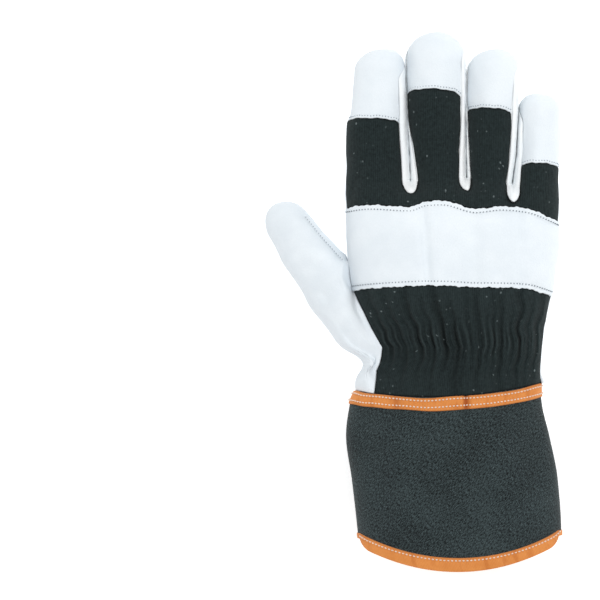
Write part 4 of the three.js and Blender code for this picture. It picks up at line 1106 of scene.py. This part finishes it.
def cap_rows(length):
    """Rows of a fingertip: even at the seam, and closing up towards the tip."""
    s = spaced(length, 0.8)
    return lerp(s, 1 - (1 - s) ** 2, smooth(s))


def cap_y(i, sine, s):
    return lerp(cap_edge(i, sine), FINGER_TIP[i], s)


def fingertip(i):
    """Leather cap over the back of a finger."""
    u, s = np.meshgrid(FINGER_COLUMNS, cap_rows(CAP_LENGTH[i]))
    edge = cap_y(i, 1, s)
    psi = between(-back_edge(i, -1, edge), back_edge(i, 1, edge), u)
    return Shell().skins(i, psi, cap_y(i, 2 * u - 1, s))


def cap_seam(i, above):
    """Line across a fingertip, `above` the edge of its leather."""
    u = np.linspace(0.02, 0.98, LINE_COUNT)
    y = cap_y(i, 2 * u - 1, 0) + above
    return skin_line(i, between(-back_edge(i, -1, y), back_edge(i, 1, y), u), y)


def front_y(i, u, s):
    """Rows of a finger's front, from the palm's seam to the tip."""
    return lerp(front_apex(i, u), FINGER_TIP[i], s)


def finger_front(i):
    """Leather over the front of a middle finger."""
    u, s = np.meshgrid(FINGER_COLUMNS, cap_rows(FINGER["length"][i] * FINGER_LENGTH))
    right = np.where(s > 0, wall_seam(i, 1, True, front_y(i, 0, s)), QUARTER)
    left = np.where(s > 0, wall_seam(i, -1, True, front_y(i, 1, s)), QUARTER)
    return Shell().skins(i, underneath(lerp(-right, left, u)), front_y(i, u, s))


def sidewall(k):
    """Sidewall between two fingers: up one finger's side, round the web and up the other's. Towards the
    back it puffs up between its seam and the slit, by half a sine wave."""
    shell = Shell()
    rows = spaced(60, 0.75) * WALL_TOP
    across = spaced(9, 0.7)
    for i, side in ((k, 1), (k + 1, -1)):
        for palm_side in (False, True):
            rightwards = (side > 0) != palm_side
            u, r = np.meshgrid(across if rightwards else across[::-1], rows)
            seam_y = finger_row(i, (PALM_APEX if palm_side else SLIT_APEX)[k], 1, r)
            around = np.minimum(1, r / 2)
            rise = np.maximum(0, r - 2) / (WALL_TOP - 2)
            seam = np.where(r > 0, wall_seam(i, side, palm_side, seam_y), QUARTER)
            psi = side * lerp(seam, QUARTER, u)
            layers = []
            for inset in (0.0, LEATHER):
                bottom = SLIT_CENTRE[k] - (SLIT_HALF + inset) * np.cos(around * QUARTER)
                y = lerp(seam_y, lerp(bottom, wall_end(i), rise ** 1.2), u)
                points = skin(i, underneath(-psi) if palm_side else psi, y, inset)
                if not palm_side:
                    points[..., 2] += WALL_PUFF * np.sin(np.pi * u) * (1 - smooth(rise * 4 - 3))
                layers.append(points)
            shell.patch(*layers)
    return shell


STRAP_OVERLAP = 0.3
STRAP_WAVER = 0.16


def strap_waver(x):
    """How far the strap's cut edges waver along it."""
    return STRAP_WAVER * (np.sin(x * 1.1) + np.sin(x * 0.63 + 1) + np.sin(x * 2.3 + 2))


def strap_foot(x):
    return strap_lower(x) - STRAP_OVERLAP - strap_waver(x + 40)


def strap_head(x):
    return strap_upper(x) + STRAP_OVERLAP + strap_waver(x)


def across_back(u):
    """The angle at a share u of the way from side seam to side seam, as a function of y."""
    return lambda y: lerp(-side_seam(WHOLE, y), side_seam(WHOLE, y), u)


def knuckle_strap():
    """Leather band across the knuckles, a little above the cotton and just over its edges."""
    u, v = np.meshgrid(spaced(125, 0.7), spaced(STRAP_WIDTH, 0.9))
    psi, y = settle(WHOLE, across_back(u), lambda x: lerp(strap_foot(x), strap_head(x), v))
    return Shell().skins(WHOLE, psi, y, -STRAP_RISE, LEATHER - STRAP_RISE, strap_relief)


def strap_row(edge, inside):
    """Stitch line at a distance inside an edge of the strap."""
    psi, y = settle(WHOLE, across_back(np.linspace(0.015, 0.985, LINE_COUNT)), lambda x: edge(x) + inside)
    return skin_line(WHOLE, psi, y, strap_relief)


# Lower back with its gathers

gather_drift = Ripple(15)


def back_share(x, y):
    """How far across the lower back a point lies, from the thumb's seam to the right edge, with a little
    wander."""
    middle, half = strip_edges(WHOLE, y, 0)
    left = thumb_seam_x(THUMB_BACK_SEAM, y)
    drift = gather_drift(np.stack([x, y * 1.6, 0 * x], -1)) * 0.005
    return (x - left) / (middle + half - left) + drift


def gather_folds(x, y):
    """Folds that run through the elastic, fanning out with the width of the back. Each is a bell across,
    steep on its right and slack on its left, that widens and fades towards the strap and the wrist."""
    share = back_share(x, y)
    above = np.maximum(0, y - ELASTIC_SEAT) / (STRAP_SEAT - ELASTIC_SEAT)
    below = np.maximum(0, ELASTIC_SEAT - y) / ELASTIC_SEAT
    total = 0 * share
    for at, depth, width, up, down in zip(*GATHER.values()):
        off = (share - at) / (GATHER_WIDTH * width * (1 + 0.7 * above + 0.5 * below))
        fade = (1 - smooth(above / up)) * (1 - smooth(below / down))
        total = total - depth * fade * bell(off / np.where(off > 0, GATHER_STEEP, GATHER_SLACK))
    return total * GATHER_DEPTH * smooth(share / GATHER_START)


def puckers(x, y):
    """Small folds along the elastic: the sum of three waves of different length across, on a bell."""
    share = back_share(x, y)
    waves = 0
    for number, phase, size in zip(*PUCKER.values()):
        waves = waves + size * np.sin(TURN * number * share + phase)
    run = bell((y - ELASTIC_SEAT - 1) / PUCKER_RUN)
    return PUCKER_DEPTH * waves / 2 * run * smooth(share / GATHER_START)


def gathers(x, y):
    """Both kinds of folds, and the shallow groove that the elastic draws."""
    groove = ELASTIC_GROOVE * bell((y - ELASTIC_SEAT) / ELASTIC_WIDTH)
    return gather_folds(x, y) + puckers(x, y) - groove


def fold_shade(x, y):
    """How pale (above 0) or dark (below 0) the folds make the cloth."""
    lower = 0.12 * smooth((ELASTIC_SEAT - y) / PUCKER_RUN)
    return 0.14 - lower + 0.65 * gather_folds(x, y) / GATHER_DEPTH + 0.7 * puckers(x, y)


def back_lower_at(u, v):
    """Angle and y in the lower back: u from the thumb's seam to the side seam, v up to the strap."""
    def psi_at(y):
        return lerp(lean_at(WHOLE, thumb_seam_x(THUMB_BACK_SEAM, y), y), side_seam(WHOLE, y), u)

    return settle(WHOLE, psi_at, lambda x: lerp(wrist_line(x), strap_lower(x), v))


def back_lower():
    """Cotton from the wrist to the strap, gathered by the elastic."""
    u, v = np.meshgrid(spaced(118, 0.5), spaced(54, 0.7))
    psi, y = back_lower_at(u, v)
    return Shell().skins(WHOLE, psi, y, 0, COTTON, gathers)


# Palm

def index_edge(y):
    """The palm's edge on the index side: along the thumb's seam, then up round the side."""
    under = np.pi - lean_at(0, thumb_seam_x(THUMB_PALM_SEAM, y), y)
    turning = smooth((y / HAND_LENGTH - CROTCH_FROM) / (THUMB_CROTCH - CROTCH_FROM))
    return lerp(under, TURN - side_seam(0, y), turning)


def little_edge(y):
    return side_seam(LAST, y)


def always(psi):
    """An angle that is the same at every y."""
    return lambda y: psi + 0 * y


# The palm from the little finger's side to the index side: finger, angles between which it lies, width,
# and its shares of the finger's base
UNDER_LEFT, UNDER_RIGHT = always(underneath(-QUARTER)), always(underneath(QUARTER))
PALM_BLOCKS = [
    {"i": LAST, "from": little_edge, "to": always(TAB_SIDE), "width": 14, "shares": (0, 0.4)},
    {"i": LAST, "from": always(TAB_SIDE), "to": UNDER_RIGHT, "width": 20, "shares": (0.4, 1)},
    {"i": 2, "from": UNDER_LEFT, "to": UNDER_RIGHT, "width": 30, "shares": (0, 1)},
    {"i": 1, "from": UNDER_LEFT, "to": UNDER_RIGHT, "width": 30, "shares": (0, 1)},
    {"i": 0, "from": UNDER_LEFT, "to": index_edge, "width": 34, "shares": (0, 1)},
]
TAB_BLOCK = PALM_BLOCKS[1]
INDEX_BLOCK = PALM_BLOCKS[4]


def palm_at(block, u, v):
    """Angle and y in a block of the palm: u across it, v from the wrist up to the fingers."""
    return settle(block["i"], lambda y: lerp(block["from"](y), block["to"](y), u),
                  lambda x: lerp(wrist_line(x), front_apex(block["i"], lerp(*block["shares"], u)), v))


def cuff_row(psi, offset, share):
    """Y at the angle psi of a row that lies a share of the way from the wrist to the hem."""
    return settle(WHOLE, lambda y: psi, lambda x: lerp(wrist_line(x), hem_line(x), share) + offset)[1]


def tab_point(psi, v):
    """Point of the tab, v of the way down from the wrist. Both its corners are round."""
    y = cuff_row(psi, -v * TAB_LENGTH, 0)
    drawn = TAB_CORNER * (1 - rounded((1 - v) * TAB_LENGTH / TAB_CORNER))
    lean = np.pi - psi
    return psi + lean * (drawn / (KNUCKLE_WIDTH / 2)) * np.abs(lean), y


def palm_layer(strip, psi, y, inset):
    """The palm's leather steps down by COVER over the cuff, and is pressed flat on the surface."""
    return skin(strip, psi, y, inset - COVER * over_cuff(y))


def palm():
    """Palm with the fronts of the index and little fingers, the wraps up to the side seams, and the tab
    over the cuff."""
    shell = Shell()

    def patch(strip, psi, y):
        shell.patch(palm_layer(strip, psi, y, 0.0), palm_layer(strip, psi, y, LEATHER))

    for n, block in enumerate(PALM_BLOCKS):
        i = block["i"]
        columns = spaced(block["width"], 1.0)
        u, v = np.meshgrid(columns, spaced(96, 1.0))
        psi, y = palm_at(block, u, v)
        at_wrist = (v == 0)[..., None]
        whole = whole_angle(i, psi, y)
        layers = [np.where(at_wrist, palm_layer(WHOLE, whole, y, inset), palm_layer(i, psi, y, inset))
                  for inset in (0.0, LEATHER)]
        shell.patch(*layers)
        if i in (0, LAST):
            u, s = np.meshgrid(columns, cap_rows(FINGER["length"][i] * FINGER_LENGTH))
            y = front_y(i, 0, s)
            inner = np.where(s > 0, wall_seam(i, 1 if i == 0 else -1, True, y), QUARTER)
            start = underneath(-inner) if i == 0 else block["from"](y)
            end = block["to"](y) if i == 0 or n == 0 else underneath(inner)
            patch(i, lerp(start, end, u), y)
        if n:
            u, v = np.meshgrid(columns, spaced(TAB_LENGTH, 1.0)[::-1])
            psi, top = palm_at(block, u, 0.0)
            psi = whole_angle(i, psi, top)
            tab_psi, tab_y = tab_point(psi, v)
            patch(WHOLE, np.where(v > 0, tab_psi, psi), np.where(v > 0, tab_y, top))
    return shell


def tab_row(down):
    """Stitch line across the tab, `down` below the wrist."""
    left, right = tape_ends()
    psi = np.linspace(right - TURN + TAB_SEAM_SHORT, left - TAB_SEAM_SHORT, LINE_COUNT)
    y = cuff_row(psi, -down, 0)
    return lambda lift: palm_layer(WHOLE, psi, y, -lift)


# Cuff and tapes

cuff_waves = Ripple(38)
tape_waver = Ripple(17)


def tucks(x, y):
    """Two narrow tucks that pull the tape and the cloth in at the wrist: bells both ways."""
    close = bell((y - WRIST_RISE + WRIST_BAND_WIDTH / 2) / TUCK_RUN)
    return -close * sum(depth * bell((x - at) / width) for at, width, depth in zip(*TUCK.values()))


def cuff_relief(x, y):
    """Creases, tucks, and slow waves that grow below the wrist."""
    waves = cuff_waves(np.stack([x, y * 0.6, 0 * x], -1))
    return creases(CUFF_CREASE, x, y) + tucks(x, y) + smooth(-y / 20) * 0.5 * waves


def angles_from(start, end, spacing=0.8):
    """Angles round the cuff from one to another, closer where the section turns."""
    count = int((end - start) / TURN * 2 * (KNUCKLE_WIDTH + CUFF_DEPTH * 0.7) / spacing)
    return np.linspace(start, end, count)


def cuff():
    """Flared cuff from the hem to the wrist seam."""
    psi, v = np.meshgrid(angles_from(-QUARTER, 3 * QUARTER), spaced(CUFF_LENGTH, 0.95))
    y = cuff_row(psi, 0, 1 - v)
    return Shell().skins(WHOLE, psi, y, 0, DENIM, cuff_relief)


def tape_ends():
    """Angles at which the tape of the wrist ends beside the tab."""
    psi, y = palm_at(INDEX_BLOCK, np.array(1.0), 0.0)
    left = whole_angle(0, psi, y)
    psi, y = palm_at(TAB_BLOCK, np.array(0.0), 0.0)
    right = whole_angle(LAST, psi, y) + TURN
    slack = TAPE_CLEAR / strip_edges(WHOLE, 0, 0)[1] / abs(np.cos(left))
    return float(left + slack), float(right - slack)


def tape_line(psi, down):
    """Y on the tape, `down` its width from its upper edge, with a slight waver."""
    spots = np.stack([30 * np.cos(psi), 30 * np.sin(psi), 9 * down + 0 * psi], -1)
    return cuff_row(psi, tape_waver(spots) * 0.16 - down * WRIST_BAND_WIDTH, 0.0)


def wrist_binding():
    """Tape round the wrist, over the top of the cuff."""
    psi, v = np.meshgrid(angles_from(*tape_ends(), 0.6), spaced(WRIST_BAND_WIDTH, 0.6))
    return Shell().skins(WHOLE, psi, tape_line(psi, 1 - v), -TAPE_GAP - TAPE, -TAPE_GAP, cuff_relief)


def hem_points(psi, turn, up, outer):
    """Folded tape over the hem. turn goes from the inside (0) round the edge to the outside (180
    degrees) on half an oval, and up is how far above the edge the point lies. The tape is narrower
    and thinner at the corners."""
    edge = cuff_row(psi, 0, 1)
    corner = hem_corner(skin(WHOLE, psi, edge)[..., 0])
    above = TAPE_GAP + (TAPE * (1 - 0.6 * corner / HEM_CORNER) if outer else 0)
    inset = DENIM / 2 + (DENIM / 2 + above) * np.cos(turn)
    drop = above * np.sin(turn)
    narrowed = 1 - corner / HEM_BAND_WIDTH
    return skin(WHOLE, psi, edge + up * narrowed - drop, inset, cuff_relief)


def hem_binding():
    """Tape folded over the hem: up on the inside, round the edge and down on the outside."""
    rise = spaced(HEM_BAND_WIDTH, 0.6)[::-1] * HEM_BAND_WIDTH
    fold = np.linspace(0, np.pi, 11)
    turn = np.concatenate([0 * rise[:-1], fold, 0 * rise[:-1] + np.pi])
    up = np.concatenate([rise[:-1], 0 * fold, rise[:-1][::-1]])
    psi, n = np.meshgrid(angles_from(-QUARTER, 3 * QUARTER, 0.6), np.arange(len(turn)))
    return Shell().patch(hem_points(psi, turn[n], up[n], True), hem_points(psi, turn[n], up[n], False))


# Thumb

thumb_swells = Ripple(20)


def thumb_frame(at):
    """Middle, direction, crosswise direction, width and depth of the thumb's section at `at`."""
    value = {name: curve(THUMB_SECTION["at"], THUMB_SECTION[name], at) for name in list(THUMB_SECTION)[1:]}
    turn = np.radians(value["turn"])
    crotch = THUMB_CROTCH * HAND_LENGTH
    depth = value["depth"] * THUMB_DEPTH
    middle = np.stack([border("left", crotch) - value["out"] * THUMB_LENGTH,
                       crotch + value["up"] * THUMB_LENGTH, depth / 2], -1)
    axis = np.stack([-np.cos(turn), np.sin(turn), 0 * turn], -1)
    across = np.stack([np.sin(turn), np.cos(turn), 0 * turn], -1)
    return middle, axis, across, value["width"] * THUMB_WIDTH, depth


def thumb_point(at, turn, scale=1.0):
    """Point of an oval section: across by the cosine of turn and up by its sine, fuller below."""
    middle, _, across, width, depth = thumb_frame(at)
    sine = np.sin(turn)
    rise = sine * np.where(sine < 0, depth / 2 + PRESS / 2, depth / 2) * scale
    side = width / 2 * np.cos(turn) * scale
    return middle + across * side[..., None] + np.array([0, 0, 1]) * rise[..., None]


def thumb_row():
    """Stitch line along the upper edge of the thumb, from near the tip to the crotch."""
    at = np.linspace(2.95, 0.2, LINE_COUNT)
    turn = np.full(LINE_COUNT, THUMB_SEAM_TURN)
    return lambda lift: notched(thumb_point(at, turn, 1 + 2 * lift / THUMB_WIDTH))


def root_loop():
    """The thumb's seam round its root, as (strip, psi, y, turn of the leather): up the lower back, over
    the crotch, down the palm and along the wrist."""
    gather_rows = [0, 0.17, 0.34, 0.5, 0.64, 0.81, 1]
    back_turns = len(gather_rows) + 1
    turn = ROOT_TURN
    v = np.linspace(0, 1, 56)
    psi, y = back_lower_at(0.0, v)
    turned = np.interp(v, gather_rows, np.arange(len(gather_rows))) / back_turns
    parts = [(WHOLE, psi, y, lerp(turn["back_wrist"], turn["back_crotch"], turned))]
    crotch_y = palm_at(INDEX_BLOCK, 1.0, np.array(THUMB_CROTCH))[1]
    t = np.linspace(0, 1, 12)[1:-1]
    y_side = lerp(y[-1], crotch_y, t)
    psi_side = lerp(psi[-1], -side_seam(WHOLE, crotch_y), t)
    turned = (back_turns - 2 + 2 * t) / back_turns
    parts.append((WHOLE, psi_side, y_side, lerp(turn["back_wrist"], turn["back_crotch"], turned)))
    v = np.concatenate([np.linspace(THUMB_CROTCH, CROTCH_FROM, 22), np.linspace(CROTCH_FROM, 0, 60)[1:]])
    psi, y = palm_at(INDEX_BLOCK, 1.0, v)
    up = np.clip((v - CROTCH_FROM) / (THUMB_CROTCH - CROTCH_FROM), 0, 1)
    under = np.clip((CROTCH_FROM - v) / CROTCH_FROM, 0, 1)
    upwards = lerp(turn["palm_crotch"], turn["back_crotch"], up)
    downwards = lerp(turn["palm_crotch"], turn["palm_wrist"], under)
    parts.append((0, psi, y, np.where(v > CROTCH_FROM, upwards, downwards)))
    start = lean_at(WHOLE, skin(0, psi[-1], 0.0)[..., 0], 0.0)
    end = parts[0][1][0]
    u = np.linspace(0, 1, 26)[1:-1]
    psi, y = settle(WHOLE, lambda at: lerp(-np.pi - start, end, u), wrist_line)
    parts.append((WHOLE, psi, y, lerp(turn["palm_wrist"], turn["back_wrist"] - FULL_TURN, u)))
    return parts


def wind(values, passes):
    """Evens out values round a closed loop."""
    for _ in range(passes):
        values = (np.roll(values, 1, 0) + 2 * values + np.roll(values, -1, 0)) / 4
    return values


def thumb_folds(points, normal_z, grown):
    """Folds in the leather over the thumb's root, on its upper side."""
    x, y = points[..., 0], points[..., 1]
    return creases(THUMB_CREASE, x, y) * np.maximum(0, normal_z) * smooth(grown)


def notched(points):
    """Points of the thumb drawn in where its outline turns: a bell along Y, stronger further out."""
    x, y = points[..., 0], points[..., 1]
    out = smooth((thumb_seam_x(THUMB_BACK_SEAM, y) - x) / NOTCH_RUN)
    drawn = NOTCH_DEPTH * bell((y - NOTCH_AT) / NOTCH_WIDTH) * out
    return points + drawn[..., None] * np.array([1, 0, 0])


def root_rows(seat, bed, turn):
    """Rows from the seam round the thumb's root to its first section, on Hermite curves. The leather
    leaves along the hand's skin, level on the upper side, and arrives in the thumb's direction."""
    root_end = thumb_point(0 * turn, turn)
    heading = thumb_point(0 * turn + 0.02, turn) - root_end
    heading /= np.linalg.norm(heading, axis=1, keepdims=True)
    leaving = -np.cross(np.roll(seat, -1, 0) - np.roll(seat, 1, 0), seat - bed)
    leaving /= np.linalg.norm(leaving, axis=1, keepdims=True)
    leaving[:, 2] *= np.where(seat[:, 2] > WRIST_DEPTH / 2, LEVEL_OFF, 1)
    leaving = wind(leaving, LEVEL_PASSES)
    wristwards = np.maximum(0, -np.cos(turn))
    reach = np.linalg.norm(seat - root_end, axis=1) * (1 + WRIST_SWEEP * wristwards)
    arriving = reach * (1 - ARRIVE_SHORT * wristwards)
    rows = []
    for s in spaced(24, 0.8)[:-1]:
        off = leaving * (reach * (s ** 3 - 2 * s ** 2 + s))[:, None]
        on = heading * (arriving * (s ** 3 - s ** 2))[:, None]
        rows.append(seat * (2 * s ** 3 - 3 * s ** 2 + 1) + off + root_end * (3 * s ** 2 - 2 * s ** 3) + on)
    return rows


def round_normals(points):
    """Normals of rows that close on themselves: the cross product of the run along and up them."""
    right = np.roll(points[:, :-1], -1, 1) - np.roll(points[:, :-1], 1, 1)
    normal = np.cross(right, np.gradient(points[:, :-1], axis=0))
    normal /= np.maximum(np.linalg.norm(normal, axis=-1, keepdims=True), 1e-9)
    return np.concatenate([normal, normal[:, :1]], 1)


def thumb():
    """The thumb's leather: from the seam round its root, over the oval sections, to a round tip."""
    parts = root_loop()
    seat = np.concatenate([skin(strip, psi, y) for strip, psi, y, _ in parts])
    bed = np.concatenate([skin(strip, psi, y, LEATHER) for strip, psi, y, _ in parts])
    turn = np.radians(np.concatenate([part[3] for part in parts]))
    last = 0 * turn + THUMB_LAST
    axis = thumb_frame(last)[1]
    rows = root_rows(seat, bed, turn)
    rows += [thumb_point(0 * turn + at, turn) for at in np.linspace(0, THUMB_LAST, 48)]
    for t in np.sin(np.linspace(0, 1, 22)[1:] * QUARTER):
        closing = np.sqrt(1 - min(1.0, t) ** 2)
        rows.append(thumb_point(last, turn, closing) + axis * (THUMB_TIP * THUMB_WIDTH * t))
    outer = notched(np.array(rows))
    outer = np.concatenate([outer, outer[:, :1]], 1)
    normal = round_normals(outer)
    normal[-1] = axis[0]
    grown = np.arange(len(rows))[:, None] / 9
    top = outer + normal * thumb_folds(outer, normal[..., 2], grown)[..., None]
    under = top - normal * LEATHER
    top[0] = np.concatenate([seat, seat[:1]])
    under[0] = np.concatenate([bed, bed[:1]])
    top[..., 2] = np.maximum(top[..., 2], 0)
    under[..., 2] = np.maximum(under[..., 2], LEATHER * 0.8)
    return Shell().patch(top, under)


# The glove put together

# Spacing of the stitches
STITCH = 1.5
STRAP_STITCH = 1.66
TAPE_STITCH = 1.8
HEM_STITCH = 1.9
HEM_STITCHED = np.radians(76)
TAPE_TOP = TAPE_GAP + TAPE


def tape_row(down):
    """Stitch line round the wrist's tape, at a share of its width."""
    psi = np.linspace(*tape_ends(), 1500)
    return skin_line(WHOLE, psi, tape_line(psi, down), cuff_relief)


def hem_row(middle_psi):
    """Stitch line on the hem's tape, on the back or under the palm, up to its round corners."""
    psi = middle_psi + np.linspace(-HEM_STITCHED, HEM_STITCHED, LINE_COUNT)
    edge = cuff_row(psi, 0, 1)
    rise = (HEM_BAND_WIDTH - hem_corner(skin(WHOLE, psi, edge)[:, 0])) * 0.78
    return skin_line(WHOLE, psi, edge + rise, cuff_relief)


# Rows of stitches: distance inside the strap's edges and above the fingertips', shares of the tape's width
# and of the tab's length
strap_seams = [Seam(strap_row(edge, inside), STRAP_STITCH, STRAP_RISE)
               for edge, inside in ((strap_upper, -1.8), (strap_lower, 1.9))]
cap_seams = [Seam(cap_seam(i, 1.3), STITCH) for i in range(4)]
tape_seams = [Seam(tape_row(down), TAPE_STITCH, TAPE_TOP) for down in (0.2, 0.72)]
tab_seams = [Seam(tab_row(share * TAB_LENGTH), TAPE_STITCH) for share in (0.1, 0.24)]
thumb_seam = Seam(thumb_row(), STITCH)
hem_seams = [Seam(hem_row(middle_psi), HEM_STITCH, TAPE_TOP) for middle_psi in (0, np.pi)]

back_upper().close("upper_back_drill", BLACK_DRILL, "cotton", ["back_upper"], soft_cloth, 0.35)
knuckle_strap().close("knuckle_strap_leather", WHITE_LEATHER, "leather", ["knuckle_strap"],
                      soft_leather, 0.3, strap_seams, 0.05, 0.14)
back_lower().close("lower_back_drill", BLACK_DRILL, "cotton", ["back_lower"], soft_cloth, 0.35,
                   fold=fold_shade)
for i, name in enumerate(FINGER_NAMES):
    fingertip(i).close(f"fingertip_{name}", WHITE_LEATHER, "leather", [f"tip_{name}"], soft_leather, 0.5,
                       [cap_seams[i]], 0.05, 0.12)
for i in (1, 2):
    name = FINGER_NAMES[i]
    finger_front(i).close(f"finger_front_{name}", WHITE_LEATHER, "leather", [f"front_{name}"],
                          soft_leather, 0.6)
for k in range(3):
    pair = f"{FINGER_NAMES[k]}_{FINGER_NAMES[k + 1]}"
    sidewall(k).close(f"sidewall_leather_painted_light_{pair}", LIT_WALL_LEATHER, "leather", [f"sidewall_{pair}"],
                      lambda p: 0.06 * wrinkles(p), 0.6)
palm().close("palm_leather", WHITE_LEATHER, "leather", ["palm"], soft_leather, 0.6,
             tab_seams, 0.05, 0.12)
thumb().close("thumb_leather", THUMB_LEATHER, "leather", ["thumb"],
              lambda p: 0.25 * thumb_swells(p), 0.6, [thumb_seam], 0.15, 0.35)
cuff().close("cuff_denim", CHARCOAL_DENIM, "denim", ["cuff"], None, 0.3)
wrist_binding().close("wrist_tape", ORANGE_TAPE, "tape", ["wrist_binding"], None, 0.45,
                      tape_seams, 0.08, 0.12, fold=tucks)
hem_binding().close("hem_tape", ORANGE_TAPE, "tape", ["hem_binding"], None, 0.45,
                    hem_seams, 0.08, 0.12)

add_stitches("strap_stitches", strap_seams, GREY_THREAD, 0.36, 0.64, -0.12)
add_stitches("fingertip_stitches", cap_seams, PALE_THREAD, 0.38, 0.56, -0.1)
add_stitches("tab_stitches", tab_seams, GREY_THREAD, 0.5, 0.6, -0.05)
add_stitches("thumb_stitches", [thumb_seam], PALE_THREAD, 0.42, 0.5, -0.2)
add_stitches("wrist_tape_stitches", tape_seams, WHITE_THREAD, 0.64, 0.8, -0.1)
add_stitches("hem_tape_stitches", hem_seams, WHITE_THREAD, 0.64, 0.75, -0.1)


# Floor, light and camera

def floor():
    """Pale floor, lit a little from within like a light table, so that shadows on it stay faint."""
    mesh = bpy.data.meshes.new("floor")
    corners = [(-3, -3, 0), (3, -3, 0), (3, 3, 0), (-3, 3, 0)]
    mesh.from_pydata(corners, [], [(0, 1, 2, 3)])
    finish = Finish("pale_floor", Roughness=0.9, Specular_IOR_Level=0.1, Emission_Strength=0.5,
                    Emission_Color=(1, 1, 1, 1))
    cloud = finish.noise(finish.place(), 120, 2)
    mesh.materials.append(finish.shine(finish.mix(cloud, rgb(253, 253, 253), rgb(255, 255, 255))))
    piece = bpy.data.objects.new("floor", mesh)
    bpy.context.scene.collection.objects.link(piece)


def soft_light(name, place, size, power):
    """Round area light, aimed at the glove."""
    light = bpy.data.lights.new(name, "AREA")
    light.shape = "DISK"
    light.size = size
    light.energy = power
    lamp = bpy.data.objects.new(name, light)
    lamp.location = place
    lamp.rotation_euler = (-Vector(place)).to_track_quat("-Z", "Y").to_euler()
    bpy.context.scene.collection.objects.link(lamp)


floor()
soft_light("key_light", (0.55, 0.5, 1.3), 0.7, 5.8)
soft_light("fill_light", (-0.9, 0.2, 1.2), 1.2, 1.5)
world = bpy.data.worlds.new("studio")
world.use_nodes = True
background = world.node_tree.nodes["Background"]
background.inputs["Color"].default_value = (1, 1, 1, 1)
background.inputs["Strength"].default_value = 0.75
bpy.context.scene.world = world
bpy.context.scene.view_settings.view_transform = "Standard"

PHOTO_WIDTH = 0.3
PHOTO_MIDDLE = (-0.05764, 0.00051)
SENSOR = 36
CAMERA_HEIGHT = 2.4
GLOVE_MIDDLE = 0.02  # height at which the photograph's width is measured
camera = bpy.data.objects.new("camera", bpy.data.cameras.new("camera"))
camera.data.sensor_width = SENSOR
camera.data.lens = SENSOR * CAMERA_HEIGHT / PHOTO_WIDTH
camera.location = (*PHOTO_MIDDLE, CAMERA_HEIGHT + GLOVE_MIDDLE)
bpy.context.scene.collection.objects.link(camera)
bpy.context.scene.camera = camera

bpy.context.view_layer.update()
